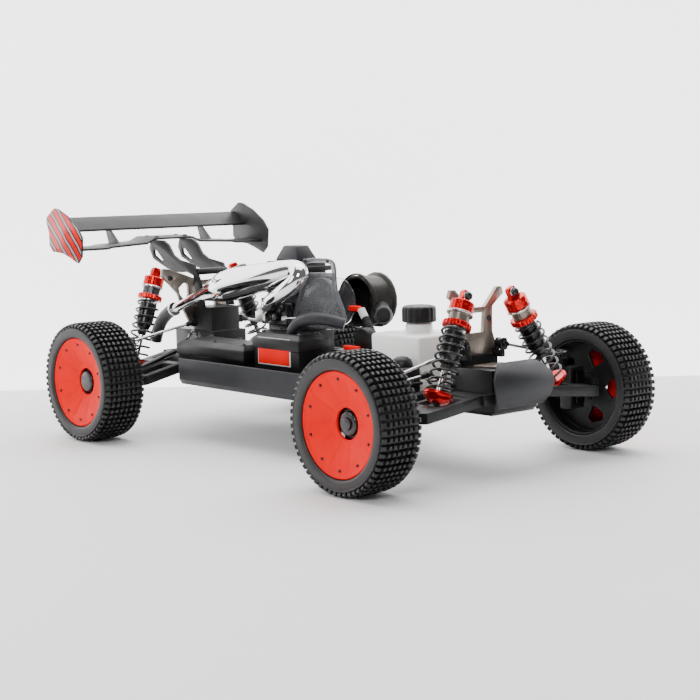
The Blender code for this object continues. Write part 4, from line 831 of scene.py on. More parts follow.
    def cover_screws(self, corner: str, hub: Matrix, edge: float) -> None:
        """Ring of small screws near the edge of the cover."""
        places = []
        for i in range(self.screw_count):
            angle = 2 * math.pi * (i + 0.5) / self.screw_count
            spot = hub @ at(self.screw_circle * math.cos(angle),
                            self.screw_circle * math.sin(angle), edge - 3.2)
            places.append(tuple(spot / MM))
        self.screws.row(f"{corner}_cover_screws", places, (0, side_of(corner), 0), 1.9,
                        corner + "_wheel_set")


# ------------------------------------------------------------------ suspension


@dataclass
class Shock:
    """One shock absorber, measured down from its upper eye in millimetres."""

    corner: str
    top: Vector
    foot: Vector
    body_finish: Finish
    turns: float = 7.5
    wire: float = 1.6
    coil_radius: float = 16.0
    spring_top: float = 46.0
    seat_drop: float = 20.5

    @property
    def length(self) -> float:
        """Distance between the eyes in millimetres."""
        return (self.foot - self.top).length / MM

    @property
    def spring_ends(self) -> tuple[float, float]:
        """Heights of the spring's two ends in millimetres."""
        return self.spring_top, self.length - self.seat_drop

    @property
    def place(self) -> Matrix:
        """Frame at the upper eye, with Z down the shock."""
        return axis_frame(self.top, self.foot - self.top)

    def upper(self, part: str, obj: bpy.types.Object, finish: Finish, *nodes: str) -> None:
        """Mount a piece on the damper body."""
        Bench.seated(obj, self.place)
        kept(obj, f"{self.corner}_{part}", finish, self.corner + "_shock_upper",
             "silver_alloy", *nodes)

    def lower(self, part: str, obj: bpy.types.Object, finish: Finish, *nodes: str) -> None:
        """Mount a piece on the piston rod."""
        Bench.seated(obj, self.place)
        kept(obj, f"{self.corner}_{part}", finish, self.corner + "_shock_lower",
             "red_anodised", *nodes)

    def coil(self) -> bpy.types.Object:
        """Spring wound with a Screw modifier at an even pitch, its two open end loops filled."""
        start, end = self.spring_ends
        Bench.fresh()
        bpy.ops.mesh.primitive_circle_add(
            vertices=10, radius=self.wire * MM, location=at(self.coil_radius, 0, start),
            rotation=(math.pi / 2, 0, 0), fill_type="NOTHING")
        obj = bpy.context.active_object
        bpy.ops.object.transform_apply(location=True, rotation=True, scale=True)
        steps = int(24 * self.turns)
        Bench.applied(obj, "SCREW", angle=2 * math.pi * self.turns,
                      screw_offset=(end - start) * MM, steps=steps, render_steps=steps)
        Bench.opened("DESELECT", "EDGE")
        bpy.ops.mesh.select_non_manifold()
        bpy.ops.mesh.edge_face_add()
        bpy.ops.object.mode_set(mode="OBJECT")
        return Bench.smooth(Bench.cleaned(obj), 60)

    def build(self) -> None:
        """Make the eyelet, cap, body, collar, spring, seat, rod and lower eye."""
        corner = self.corner
        fin = [(-6.2, -4), (-4.5, -6.4), (4.5, -6.4), (6.2, -4), (6.8, 4), (9.5, 9.4), (-9.5, 9.4),
               (-6.8, 4)]
        eyelet = Bench.plate(fin, 8.0, 0.7)
        Bench.seated(eyelet, Matrix.Translation(at(-4, 0, 0)) @ STAND_YZ)
        cap = ((9.0, 8.4), (14.0, 8.9), (15.2, 10.2), (15.2, 14.4), (14.5, 14.9), (14.5, 15.7),
               (15.2, 16.2), (15.2, 21.6), (14.4, 22.6), (12.6, 22.8))
        top = Bench.joined([eyelet, Bench.scalloped(Bench.turned(cap, 72), 12, 0.03, 15.0)])
        self.upper("shock_cap", top, RED_ANODISED, corner + "_shock_body")
        flange = ((13.4, 22.9), (16.0, 23.1), (16.6, 23.8), (16.6, 25.0), (16.0, 25.6),
                  (13.4, 25.8))
        self.upper("shock_flange", Bench.turned(flange, 56), SILVER)
        body = [(12.6, 26.0), (13.0, 26.4)]
        for i in range(3):
            z = 28.2 + i * 2.6
            body += [(13.0, z), (12.4, z + 0.3), (12.4, z + 1.0), (13.0, z + 1.3)]
        body += [(13.0, 36.0)]
        barrel = Bench.turned(body, 72)
        if not is_front(corner):
            Bench.scalloped(barrel, 18, 0.05, 12.0)
        self.upper("shock_barrel", barrel, self.body_finish)
        collar = ((13.2, 36.2), (17.2, 36.4), (18.3, 37.6), (18.3, 42.4), (17.4, 43.6),
                  (13.2, 43.8))
        self.upper("spring_collar", Bench.scalloped(Bench.turned(collar, 120), 18, 0.055, 16.5),
                   RED_ANODISED)
        neck = Bench.turned(((12.0, 44.0), (12.9, 44.4), (12.9, 49.6), (12.2, 50.2)), 40)
        self.upper("bright_neck", neck, SILVER)
        threads = [(12.0, 50.3)]
        for i in range(13):
            z = 50.8 + i * 2.2
            threads += [(12.8, z), (12.8, z + 0.8), (12.2, z + 1.2), (12.2, z + 1.8)]
        threads += [(12.4, 80.0), (9.5, 86.0), (9.3, 89.6), (4.6, 90.0)]
        self.upper("threaded_body", Bench.turned(threads, 40), BLACK_GLOSS)
        spring = Bench.seated(self.coil(), self.place)
        spring.name = spring.data.name = corner + "_coil_spring"
        spring.data.materials.append(SPRING.made())
        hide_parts(corner + "_spring")
        start, stop = (self.place @ at(0, 0, height) for height in self.spring_ends)
        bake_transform(spring)
        end = self.length
        seat = ((5.4, end - 6.4), (9.0, end - 7.4), (13.4, end - 10.0), (16.4, end - 13.6),
                (17.0, end - 15.0), (18.5, end - 15.5), (18.5, end - 16.6), (17.5, end - 17.0),
                (17.5, end - 17.6), (18.3, end - 17.9), (18.3, end - 18.5), (16.6, end - 18.7),
                (13.4, end - 17.6), (5.0, end - 17.2))
        self.lower("spring_seat", Bench.turned(list(reversed(seat)), 56), RED_ANODISED,
                   corner + "_shock_rod")
        rod = Bench.turned(((3.9, 82.0), (3.9, end - 16.0)), 20)
        self.lower("piston_rod", rod, CHROME)
        boot = Bench.turned(((5.6, 90.6), (6.6, 92.0), (6.6, 96.0), (5.2, 98.0)), 24)
        self.upper("rod_seal", boot, HOSE_RUBBER)
        eye = Bench.turned(((5.0, -4.6), (6.6, -4.2), (6.6, 4.2), (5.0, 4.6)), 28)
        Bench.seated(eye, axis_frame(at(0, 0, end), Vector((1, 0, 0))))
        neck = Bench.turned(((4.6, end - 8.0), (5.6, end - 3.0)), 20)
        self.lower("lower_eye", Bench.joined([eye, neck]), BLACK_NYLON)


@dataclass
class Suspension:
    """Arms, carriers, links, drive shafts, shocks and steering of all four corners."""

    front_ends: tuple[Point, Point] = ((345.5, 41.5, 223.0), (361.5, 111.0, 92.9))
    rear_ends: tuple[Point, Point] = ((-276.5, 73.5, 232.5), (-266.5, 127.0, 87.6))

    def castings(self) -> None:
        """Refine the moulded arms, carriers and knuckles."""
        for corner in CORNERS:
            front = is_front(corner)
            parts = [("lower_arm", "arm", BLACK_NYLON, 0.9)]
            if front:
                parts += [("spindle_carrier", "carrier", BLACK_NYLON, 0.7),
                          ("steering_knuckle", "hub", STEEL, 0.6)]
            else:
                parts += [("hub_carrier", "carrier", BLACK_NYLON, 0.7),
                          ("drive_shaft", "drive", STEEL, 0.4)]
            for part, body, finish, ease in parts:
                node = f"{corner}_{part}"
                slot = "black_plastic" if finish is BLACK_NYLON else "dark_steel"
                skin(node, node + "_casting", finish, slot, ease, f"{corner}_{body}")

    def link(self, node: str, body: str, start: Vector, end: Vector, axis: Vector) -> None:
        """Turnbuckle with a thicker round band at its middle and a ball joint at each end.

        Args:
            node: Frame node that it stands for.
            body: Body that it moves with.
            start: Inner ball.
            end: Outer ball.
            axis: Direction of the ball studs.
        """
        length = (end - start).length / MM
        middle = length / 2
        rod = ((2.0, 9.0), (2.0, middle - 5.0), (2.4, middle - 4.0), (2.4, middle + 4.0),
               (2.0, middle + 5.0), (2.0, length - 9.0))
        line = axis_frame(start, end - start)
        kept(Bench.seated(Bench.turned(rod, 12), line), node + "_rod", SILVER, body,
             "silver_alloy", node)
        ends = []
        for point, aim in ((start, line), (end, axis_frame(end, start - end))):
            neck = Bench.turned(((3.9, 0.0), (3.9, 7.0), (3.0, 9.5)), 16)
            ends.append(Bench.seated(neck, aim @ Matrix.Translation(at(0, 0, 4.0))))
            cup = Bench.turned(((4.6, -3.7), (6.0, -2.9), (6.0, 2.9), (4.6, 3.7)), 24)
            ends.append(Bench.seated(cup, axis_frame(point, axis)))
        kept(Bench.joined(ends), node + "_ball_ends", BLACK_NYLON, body, "black_plastic")

    def links(self) -> None:
        """Camber links and tie rods, at the places their frame nodes hold."""
        for side in (1, -1):
            left = "left" if side > 0 else "right"
            rows = (
                (f"front_{left}_camber_link", f"front_{left}_link", (334.5, 33.0, 158.0),
                 (334.5, 158.0, 131.0), (1, 0, 0)),
                (f"front_{left}_tie_rod", f"front_{left}_tie", (298.5, 60.0, 123.5),
                 (298.5, 172.0, 112.5), (0, 0, 1)),
                (f"rear_{left}_camber_link", f"rear_{left}_link", (-224.5, 44.0, 157.0),
                 (-224.5, 163.0, 136.0), (1, 0, 0)),
            )
            for node, body, start, end, axis in rows:
                self.link(node, body, to_side(side, start), to_side(side, end), Vector(axis))

    def shocks(self) -> None:
        """The four shock absorbers."""
        for corner in CORNERS:
            side = side_of(corner)
            front = is_front(corner)
            top, foot = self.front_ends if front else self.rear_ends
            place = to_side(side, top)
            Shock(corner, place, to_side(side, foot), CHAMPAGNE if front else GUNMETAL).build()
            facing = axis_frame(place, Vector((1 if front else -1, 0, 0)))
            washer = Bench.turned(((5.8, 4.1), (6.2, 4.3), (6.2, 5.0), (5.8, 5.2)), 32)
            kept(Bench.seated(washer, facing), f"{corner}_bolt_washer", SILVER, CHASSIS,
                 "silver_alloy")
            dome = Bench.turned(((5.2, 5.2), (5.2, 7.4), (4.6, 9.0), (3.4, 9.8), (2.6, 9.9),
                                 (2.4, 8.6)), 32, angle=50)
            kept(Bench.seated(dome, facing), f"{corner}_shock_bolt", BLACK_GLOSS, CHASSIS,
                 "dark_steel")

    def build(self) -> None:
        """Make every suspension piece."""
        self.castings()
        self.links()
        self.shocks()
        skin("steering_link", "steering_crosslink", CHAMPAGNE, "tower_alloy", 0.8, "steering")


# ------------------------------------------------------------------ body frame and wing


@dataclass
class BodyFrame:
    """Chassis plate, guards, bumper, towers, gearbox, servos and electronics boxes."""

    screws: Fasteners
    tower_thickness: float = 6.0

    def build(self) -> None:
        """Refine each frame part and fit its screws."""
        rows = (
            ("chassis_plate", STEEL, "dark_steel", 0.5),
            ("left_side_guard", SLATE, "slate_plastic", 1.0),
            ("right_side_guard", SLATE, "slate_plastic", 1.0),
            ("front_bumper", SLATE, "slate_plastic", 1.2),
            ("front_bulkhead", BLACK_NYLON, "black_plastic", 0.8),
            ("front_shock_tower", CHAMPAGNE, "tower_alloy", 0.6),
            ("rear_gearbox", BLACK_NYLON, "black_plastic", 0.8),
            ("wing_mount", BLACK_NYLON, "black_plastic", 0.7),
            ("battery_box", BLACK_NYLON, "black_plastic", 1.4),
            ("radio_box", BLACK_NYLON, "black_plastic", 1.4),
        )
        for node, finish, slot, ease in rows:
            skin(node, node + "_skin", finish, slot, ease)
        self.nameplate()
        lid = [(x, y, 139.6) for x in (-172, -104, -36) for y in (-93, -49)]
        self.screws.row("battery_lid_screws", lid, (0, 0, 1), 3.0, CHASSIS)
        lid = [(x, y, 160.6) for x in (2, 80) for y in (-87, -56)]
        self.screws.row("radio_lid_screws", lid, (0, 0, 1), 3.0, CHASSIS)
        tower = [(325.6, side * y, z) for side in (1, -1) for y, z in ((29, 152), (21.5, 190))]
        self.screws.row("front_tower_screws", tower, (1, 0, 0), 3.2, CHASSIS)
        tower = [(-249.4, side * y, z) for side in (1, -1) for y, z in ((20, 214.5), (66.5, 224))]
        self.screws.row("rear_tower_screws", tower, (1, 0, 0), 4.2, CHASSIS, BLACK_GLOSS)
        self.rear_tower()
        self.link_mounts()
        self.gear_covers()
        self.servo_cases()

    def rear_tower(self) -> None:
        """Rear shock tower: wide plate with a slot in each wing and an arch in the middle."""
        half = [(16.6, 150), (30, 150), (46, 182), (52, 199), (67.5, 214.5), (80.5, 227.5),
                (77.5, 238.5), (67.5, 237.5), (46, 230), (24, 222), (10, 218)]
        outline = half + [(-y, z) for y, z in reversed(half)]
        plate = Bench.plate(outline, self.tower_thickness, 0)
        arch = [(16.6, 140), (16.6, 199), (12, 207), (6, 210), (-6, 210), (-12, 207), (-16.6, 199),
                (-16.6, 140)]
        cutters = [arch]
        for side in (1, -1):
            slot = ((33, 209), (33, 197), (36, 188), (40, 188), (49, 198), (51, 208), (42, 215),
                    (35, 214))
            cutters.append([(side * y, z) for y, z in slot])
            cutters.append([(side * (58 + 1.7 * math.cos(a)), 222 + 1.7 * math.sin(a))
                            for a in (math.tau * i / 12 for i in range(12))])
        deep = Matrix.Translation(at(0, 0, -2))
        Bench.cut(plate, [Bench.seated(Bench.plate(points, 10.0, 0), deep) for points in cutters])
        Bench.eased(plate, 0.5)
        Bench.seated(plate, Matrix.Translation(at(-255.5, 0, 0)) @ STAND_YZ)
        kept(plate, "rear_tower_plate", CHAMPAGNE, CHASSIS, "tower_alloy", "rear_shock_tower")

    def link_mounts(self) -> None:
        """Clevis cheeks that hold the inner ball of each front camber link."""
        cheeks = []
        for side in (1, -1):
            for x in (328.6, 338.8):
                outline = [(27, 148), (39, 150), (40.5, 158), (38, 164.5), (30, 165), (27, 158)]
                cheek = Bench.plate([(side * y, z) for y, z in outline], 1.8, 0.5)
                cheeks.append(Bench.seated(cheek, Matrix.Translation(at(x, 0, 0)) @ STAND_YZ))
            low, high = sorted((side * 26, side * 34))
            cheeks.append(Bench.brick((325.7, low, 141), (342, high, 149.6), 1.5))
        kept(Bench.joined(cheeks), "front_link_mounts", BLACK_NYLON, CHASSIS, "black_plastic")
        places = [(340.7, side * 33, 158) for side in (1, -1)]
        self.screws.row("front_link_bolts", places, (1, 0, 0), 3.4, CHASSIS)
        brace = Bench.plate([(342, -24), (386, -17), (386, 17), (342, 24)], 2.4, 0.6)
        Bench.seated(brace, Matrix.Translation(at(0, 0, 133.4)))
        kept(brace, "bulkhead_brace", CHAMPAGNE, CHASSIS, "tower_alloy")
        self.screws.row("brace_screws", [(378, y, 135.9) for y in (-9, 9)], (0, 0, 1), 3.2,
                        CHASSIS)

    def gear_covers(self) -> None:
        """Round bearing covers on the gearbox's sides, each with a ring of screws."""
        covers = []
        for side in (1, -1):
            profile = ((21, 0), (21, 3), (19.6, 4.6), (15, 5.4), (14.4, 4.6), (10, 4.6))
            spot = (-237.5, side * 29.9, 123)
            covers.append(fitted(profile, 48, spot, (0, side, 0), angle=45))
        kept(Bench.joined(covers), "gearbox_covers", BLACK_GLOSS, CHASSIS, "black_plastic")
        for side, name in ((1, "left"), (-1, "right")):
            heads = [(-237.5 + 17.6 * math.cos(a), side * 34.6, 123 + 17.6 * math.sin(a))
                     for a in (math.tau * i / 6 for i in range(6))]
            self.screws.row(f"gearbox_{name}_screws", heads, (0, side, 0), 2.0, CHASSIS)

    def servo_cases(self) -> None:
        """Steering servos beside the tank, each with a rounded lid and mounting ears."""
        for side, name in ((-1, "right"), (1, "left")):
            low, high = sorted((side * 47, side * 72))
            case = Bench.brick((176, low, 81.4), (272, high, 130), 3.4)
            lid = Bench.turned(((13.5, 0), (13.5, 4), (11.5, 9.5), (7.0, 12.6), (2.0, 13.6)), 40,
                               angle=60)
            Bench.seated(lid, Matrix.Translation(at(250, side * 59, 129.4)))
            ear = Bench.brick((170, low + 2, 108), (278, high - 2, 112), 1.0)
            kept(Bench.joined([case, lid, ear]), f"{name}_servo_case", BLACK_NYLON, CHASSIS,
                 "black_plastic")
            ears = [(x, side * y, 112) for x in (173, 275) for y in (53, 66)]
            self.screws.row(f"{name}_servo_screws", ears, (0, 0, 1), 2.0, CHASSIS)

    def nameplate(self) -> None:
        """Plain red plate with a white border on the radio box's side."""
        stand = Matrix(((1, 0, 0, 0), (0, 0, 1, 0), (0, 1, 0, 0), (0, 0, 0, 1)))
        for name, finish, grow, y in (("plate_border", LABEL_WHITE, 1.6, -98.2),
                                      ("plate_face", RED_NYLON, 0.0, -98.9)):
            outline = [(4 - grow, 119.5 - grow), (71 + grow, 119.5 - grow),
                       (71 + grow, 153.5 + grow), (4 - grow, 153.5 + grow)]
            obj = Bench.plate(outline, 1.0, 0.3)
            Bench.seated(obj, Matrix.Translation(at(0, y, 0)) @ stand)
            kept(Bench.cleaned(obj), "radio_" + name, finish, CHASSIS, "red_nylon")


@dataclass
class Wing:
    """Rear wing with its end plates and fixings."""

    screws: Fasteners

    def build(self) -> None:
        """Refine the blades and plates, and fit the wing nuts."""
        skin("wing", "wing_blades", SATIN_BLACK, "black_plastic", 0.6)
        for side in ("left", "right"):
            node = f"{side}_wing_end_plate"
            plate = skin(node, node + "_skin", SATIN_BLACK, "black_plastic", 0.5)
            self.graphic(plate, node, side_of(node.split("_")[0]))
        nuts = [(x, side * 27.0, 281.4) for side in (1, -1) for x in (-341, -366)]
        self.screws.row("wing_nuts", nuts, (0, 0, 1), 4.2, CHASSIS, STEEL)

    def graphic(self, plate: bpy.types.Object, node: str, side: int) -> None:
        """Thin banded sheet on an end plate's outer face.

        Args:
            plate: The end plate's piece.
            node: Its frame node's name.
            side: 1 at the left and -1 at the right.
        """
        sheet = Bench.twin(plate, node + "_sheet")
        outside = max(side * vertex.co.y for vertex in sheet.data.vertices)
        Bench.picked(sheet, lambda face: not (face.normal.y * side > 0.99 and
                                              face.center.y * side > outside - 0.2 * MM))
        bpy.ops.mesh.delete(type="FACE")
        bpy.ops.object.mode_set(mode="OBJECT")
        Bench.applied(sheet, "SOLIDIFY", thickness=0.25 * MM, offset=1.0)
        kept(Bench.cleaned(sheet), node + "_graphic", END_PLATE, CHASSIS, "black_plastic")


# ------------------------------------------------------------------ power unit


@dataclass
class PowerUnit:
    """Engine, exhaust, cooling drum, clear guard, tank and cap."""

    screws: Fasteners

    def exhaust(self) -> None:
        """Header and muffler in chrome, with the clamp and the rubber elbow."""
        chrome = ((-34.5, -34.3, 183, 8), (-34.5, -48.3, 183, 8), (-20.5, -66, 193, 10),
                  (7.5, -72, 204, 12), (37.5, -74, 218, 12), (53.5, -70, 229, 12),
                  (57.5, -64, 241, 12), (45.5, -60, 248, 12), (23.5, -60, 244, 15),
                  (-12.5, -60, 236, 19), (-102.5, -57, 221, 23), (-130.5, -56, 215, 23),
                  (-174.5, -56, 203, 10), (-194.5, -56, 198, 7), (-256, -55, 176.6, 7))
        kept(Bench.tube(chrome, 10), "exhaust_pipe", CHROME, CHASSIS, "bright_chrome",
             "tuned_exhaust")
        elbow = ((-256, -55, 176.6, 9.5), (-264, -55, 174.5, 9.5), (-282.5, -55, 167, 9.5),
                 (-302.5, -55, 147, 9.5), (-310.5, -55, 125, 9.5))
        kept(Bench.tube(elbow, 8), "exhaust_elbow", HOSE_RUBBER, CHASSIS, "bright_chrome")
        clamps = (((-258, -55, 176), 10.4, (-60, 1, -21)), ((-34.5, -38, 183), 12, (0, -1, 0)))
        for index, (spot, radius, way) in enumerate(clamps):
            band = ((radius - 1.6, -2.2), (radius, -2.0), (radius, 2.0), (radius - 1.6, 2.2))
            kept(fitted(band, 32, spot, way), f"exhaust_clamp_{index}", SILVER, CHASSIS,
                 "silver_alloy")

    def engine(self) -> None:
        """Crankcase and cylinder, with the cover over them."""
        skin("engine", "engine_casting", CAST, "engine_alloy", 0.9)
        skin("engine_shroud", "engine_cover", SLATE, "slate_plastic", 1.6)

    def drum(self) -> None:
        """Cooling-fan drum with thick rims, a black liner and a small side mouth."""
        skin("fan_housing", "fan_drum", DRUM_GREY, "dark_steel", 0.8)
        mouth, ahead = (65.5, 28, 198), (0, 1, 0)
        liner = ((8, 31), (32.3, 31), (32.3, 1), (31.4, 1), (31.4, 29.6), (8, 29.6))
        kept(fitted(liner, 64, mouth, ahead, ring=True), "drum_liner", BLACK_NYLON, CHASSIS,
             "black_plastic")
        rim = ((36.3, 0.2), (38.2, -0.4), (39.0, 0.8), (39.0, 3.6), (38.2, 4.6), (36.3, 4.2))
        kept(fitted(rim, 72, mouth, ahead, ring=True), "drum_rim", DRUM_GREY, CHASSIS,
             "dark_steel")
        duct = ((100, 44, 189, 10.5), (108, 36, 187, 10.5), (118, 28, 185, 10.5),
                (129, 20, 183, 10.5))
        kept(Bench.tube(duct, 8), "drum_side_duct", BLACK_NYLON, CHASSIS, "black_plastic")
        ring = ((9.6, 0), (12.2, 0.4), (12.6, 1.6), (12.2, 3.0), (9.6, 3.4))
        kept(fitted(ring, 48, (129.5, 19.6, 182.9), (11, -8, -2), ring=True), "drum_side_ring",
             GUNMETAL, CHASSIS, "dark_steel")

    def guard(self) -> None:
        """Smoky guard: a tube hoop with splayed legs, a sheet, a domed cover and a clear disc."""
        y = -38.5
        hoop = ((10, y, 176, 3.4), (14, y, 190, 3.4), (27, y, 208, 3.4), (32, y, 226, 3.4),
                (32, y, 243, 3.4), (33, y, 254, 3.4), (42, y, 257.5, 3.4), (62, y, 258, 3.4),
                (84, y, 258.5, 3.4), (95, y, 256, 3.4), (97, y, 246, 3.4), (97, y, 228, 3.4),
                (100, y, 212, 3.4), (112, y, 196, 3.4), (118, y, 178, 3.4))
        bar = ((33, y, 238, 2.6), (50, y, 239, 2.6), (80, y, 239.5, 2.6), (96, y, 239.5, 2.6))
        parts = [Bench.tube(hoop, 5), Bench.tube(bar, 4)]
        kept(Bench.joined(parts), "guard_hoop", SMOKED_THICK, CHASSIS, "smoked_clear")
        outline = [(12, 166), (116, 166), (116, 180), (110, 197), (98, 212), (96, 238), (33, 238),
                   (31, 222), (25, 207), (13, 190)]
        sheet = Bench.plate(outline, 1.8, 0.4)
        Bench.seated(sheet, Matrix.Translation(at(0, y + 1, 0)) @ STAND_XZ)
        kept(Bench.cleaned(sheet), "guard_panel", SMOKED, CHASSIS, "smoked_clear",
             "clear_guard")
        cover = ((27, 0), (27, 3), (24.5, 6.5), (18, 9), (17, 8.4), (12, 10), (11, 9.4), (4, 10.4))
        dome = fitted(cover, 56, (64, y + 2.6, 207), (0, 1, 0), angle=50)
        kept(dome, "guard_dome", SMOKED_THICK, CHASSIS, "smoked_clear")
        disc = ((4, 0), (32.4, 0), (33, 0.6), (32.4, 1.4), (4, 1.4))
        lens = fitted(disc, 64, (71, -8, 200), (0, 1, 0), ring=True)
        kept(lens, "clear_fan_disc", CLEAR, CHASSIS, "smoked_clear")
        self.screws.row("guard_screws", [(40, -42, 257.5), (88, -42, 258.2)], (0, -1, 0), 2.6,
                        CHASSIS)

    def small_parts(self) -> None:
        """Throttle linkage, carburettor, duct, receiver case, plugs, sleeve and starter."""
        rods = [Bench.tube(((-32, -62, 189, 1.7), (-14, -62, 195, 1.7), (6, -62, 202, 1.7),
                            (22, -62, 206, 1.7)), 4),
                Bench.tube(((18, -64, 178, 1.5), (50, -64, 181, 1.5), (84, -64, 184, 1.5),
                            (116, -64, 186, 1.5)), 4)]
        for x, z in ((-32, 189), (22, 206), (18, 178)):
            ball = ((2.2, -3.4), (3.8, -2.2), (3.8, 2.2), (2.2, 3.4))
            rods.append(fitted(ball, 24, (x, -63, z), (0, 1, 0)))
        rods.append(Bench.brick((-44, -66, 172), (-22, -52, 186), 1.6))
        kept(Bench.joined(rods), "throttle_linkage", SILVER, CHASSIS, "silver_alloy")
        knobs = []
        for x, z in ((-20, 203), (4, 190), (-6, 178)):
            knob = ((4.6, 0), (5.2, 1.2), (5.2, 7.0), (4.4, 8.2), (2.0, 8.6))
            knobs.append(fitted(knob, 24, (x, -54, z), (0, -1, 0)))
        knobs.append(Bench.brick((-30, -54, 166), (12, -42, 198), 3.0))
        kept(Bench.joined(knobs), "carburettor", BLACK_GLOSS, CHASSIS, "dark_steel")
        duct = ((50, -78, 160, 6), (56, -78, 172, 7.5), (74, -76, 181, 8.5), (96, -72, 184, 8.5),
                (118, -64, 182, 8), (132, -52, 176, 7))
        kept(Bench.tube(duct, 6), "air_duct", SLATE, CHASSIS, "slate_plastic")
        case = [Bench.brick((100, -50, 81.4), (165, -26, 140), 2.6),
                Bench.brick((96, -47, 134), (169, -29, 138), 1.0)]
        drum = ((17.4, 0), (18, 1.4), (18, 11), (16, 14), (5, 15))
        case.append(fitted(drum, 48, (134, -10, 152), (0, -1, 0), angle=50))
        kept(Bench.joined(case), "receiver_case", BLACK_NYLON, CHASSIS, "black_plastic")
        kept(Bench.brick((118, -44, 140.2), (146, -36, 146.4), 1.6), "servo_plug", RED_NYLON,
             CHASSIS, "red_nylon")
        kept(Bench.brick((96, -14, 189), (113, -4, 196.4), 1.4), "ignition_plug", RED_NYLON,
             CHASSIS, "red_nylon")
        root, fall = (117, -8, 190), (33, -2, -43)
        plug = ((4.0, -3), (5.4, -2), (5.4, 11), (4.4, 12))
        kept(fitted(plug, 28, root, fall), "white_plug", LABEL_WHITE, CHASSIS, "red_nylon")
        ribs = [(4.4, 11.4)]
        for i in range(13):
            z = 12.0 + i * 3.3
            ribs += [(5.6, z + 0.3), (5.6, z + 1.6), (4.6, z + 2.0), (4.6, z + 2.9)]
        kept(fitted(ribs, 28, root, fall), "ribbed_sleeve", HOSE_RUBBER, CHASSIS,
             "black_plastic")
        boot = ((5.8, 53), (7.6, 54.5), (7.6, 62), (6.2, 66))
        kept(fitted(boot, 28, root, fall), "sleeve_boot", SLATE, CHASSIS, "slate_plastic")
        starter = [(26, 0), (26, 5), (24, 9), (19, 10), (18, 8.6), (10, 8.6), (9, 10.4), (3, 11)]
        kept(fitted(starter, 64, (-30.5, 34.3, 128), (0, 1, 0), angle=45), "pull_starter",
             BLACK_NYLON, CHASSIS, "black_plastic")
        heads = [(-30.5 + 22 * math.cos(a), 43.6, 128 + 22 * math.sin(a))
                 for a in (math.radians(v) for v in (45, 135, 225, 315))]
        self.screws.row("starter_screws", heads, (0, 1, 0), 2.4, CHASSIS)

    def tank(self) -> None:
        """Fuel tank and its ribbed cap."""
        skin("fuel_tank", "tank_shell", TANK, "tank_white", 6.0)
        profile = [(20.0, 180.5), (22.6, 181.4), (22.6, 197.6), (21.8, 200.2), (19.4, 201.8),
                   (16.6, 202.2), (16.2, 201.4), (6.0, 201.4)]
        cap = Bench.scalloped(Bench.turned(profile, 96), 16, 0.05, 21.0)
        Bench.seated(cap, Matrix.Translation(at(220.5, 0, 0)))
        kept(cap, "tank_cap", BLACK_NYLON, "filler_cap", "black_plastic", "fuel_cap")

    def build(self) -> None:
        """Make every piece of the power unit."""
        self.engine()
        self.exhaust()
        self.drum()
        self.tank()
        self.guard()
        self.small_parts()


# ------------------------------------------------------------------ studio


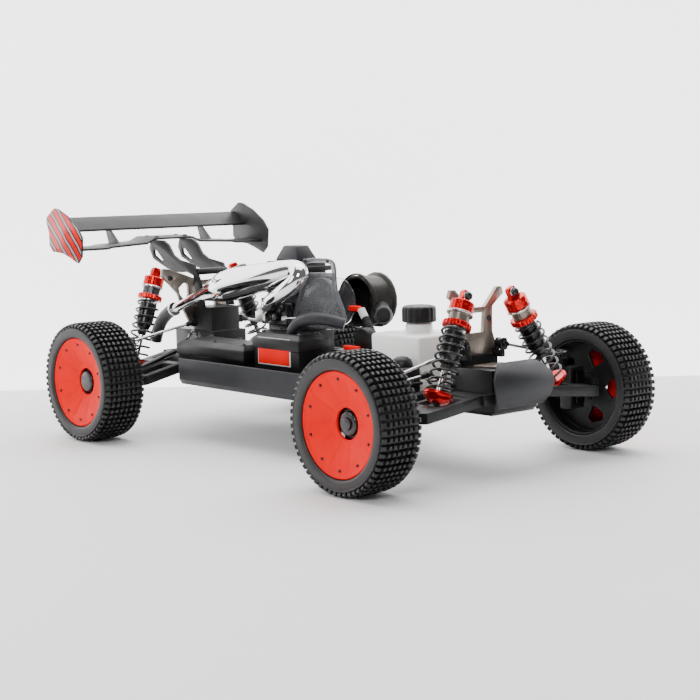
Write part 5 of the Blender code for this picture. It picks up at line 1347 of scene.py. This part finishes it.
@dataclass
class Studio:
    """Pale floor, glowing backdrop, soft lights and the camera."""

    camera_place: tuple[float, float, float] = (1681.1, -1393.4, 372.9)
    yaw: float = -41.07
    pitch: float = 6.44
    roll: float = -1.10
    lens: float = 79.8
    backdrop_size: float = 3.4

    def floor(self) -> None:
        """Wide pale floor with a faint unevenness."""
        Bench.fresh()
        bpy.ops.mesh.primitive_plane_add(size=14)
        floor = bpy.context.active_object
        floor.name = "studio_floor"
        pale = Finish("pale_floor", (0.88, 0.88, 0.88), (0.86, 0.86, 0.86), 0.65,
                      mottle_scale=2.0, grain_depth=0.00002)
        floor.data.materials.append(pale.made())

    def backdrop(self) -> None:
        """Glowing white wall behind the car, curved forward at its sides."""
        reach = self.backdrop_size
        points = [(reach * math.cos(math.radians(a)), reach * math.sin(math.radians(a)))
                  for a in range(60, 221, 10)]
        Bench.fresh()
        bpy.ops.mesh.primitive_circle_add(vertices=len(points), radius=1, fill_type="NOTHING")
        wall = bpy.context.active_object
        for vertex, (x, y) in zip(wall.data.vertices, points):
            vertex.co = (x, y, -0.01)
        Bench.opened("SELECT", "EDGE")
        bpy.ops.mesh.extrude_region_move(TRANSFORM_OT_translate={"value": (0, 0, reach)})
        bpy.ops.object.mode_set(mode="OBJECT")
        wall.name = "studio_backdrop"
        glow = bpy.data.materials.new("backdrop_glow")
        glow.use_nodes = True
        shader = glow.node_tree.nodes["Principled BSDF"]
        shader.inputs["Base Color"].default_value = (0.9, 0.9, 0.9, 1)
        shader.inputs["Emission Color"].default_value = (1, 1, 1, 1)
        shader.inputs["Emission Strength"].default_value = 2.6
        wall.data.materials.append(glow)

    def light(self, name: str, place: Sequence[float], size: float, power: float) -> None:
        """Add a soft square light aimed at the car.

        Args:
            name: Name of the light.
            place: Its place in metres.
            size: Its side in metres.
            power: Its power in watts.
        """
        lamp = bpy.data.lights.new(name, "AREA")
        lamp.size = size
        lamp.energy = power
        holder = bpy.data.objects.new(name, lamp)
        holder.location = place
        aim = Vector((0, 0, 0.1)) - Vector(place)
        holder.rotation_euler = aim.to_track_quat("-Z", "Y").to_euler()
        bpy.context.scene.collection.objects.link(holder)

    def camera(self) -> None:
        """Put the camera at the front right, looking slightly down."""
        yaw, pitch, roll = (math.radians(v) for v in (self.yaw, self.pitch, self.roll))
        back = Vector((math.cos(pitch) * math.cos(yaw), math.cos(pitch) * math.sin(yaw),
                       math.sin(pitch)))
        ahead = -back
        right = ahead.cross(Vector((0, 0, 1))).normalized()
        above = right.cross(ahead)
        level = math.cos(roll) * right + math.sin(roll) * above
        upright = -math.sin(roll) * right + math.cos(roll) * above
        turn = Matrix((level, upright, back)).transposed().to_4x4()
        view = bpy.data.cameras.new("view")
        view.lens = self.lens
        view.sensor_width = 36
        holder = bpy.data.objects.new("view", view)
        bpy.context.scene.collection.objects.link(holder)
        holder.matrix_world = Matrix.Translation(at(*self.camera_place)) @ turn
        bpy.context.scene.camera = holder

    def build(self) -> None:
        """Set up the floor, sky, lights and camera."""
        self.floor()
        self.backdrop()
        world = bpy.data.worlds.new("studio")
        world.use_nodes = True
        sky = world.node_tree.nodes["Background"]
        sky.inputs["Color"].default_value = (1, 1, 1, 1)
        sky.inputs["Strength"].default_value = 0.16
        bpy.context.scene.world = world
        self.light("overhead", (-0.2, 0.3, 2.3), 2.6, 84)
        self.light("key", (1.6, -1.9, 1.6), 0.8, 30)
        self.light("side", (-0.9, -2.2, 1.1), 0.7, 12)
        self.camera()


def main() -> None:
    """Build the car's sub-assemblies in order."""
    logging.basicConfig(level=logging.INFO, format="%(message)s")
    Studio().build()
    screws = Fasteners()
    for assembly in (RunningGear(screws), Suspension(), BodyFrame(screws), Wing(screws),
                     PowerUnit(screws)):
        assembly.build()
        log.info("finished %s", type(assembly).__name__)
    screws.put_away()


if __name__ == "__main__":
    main()
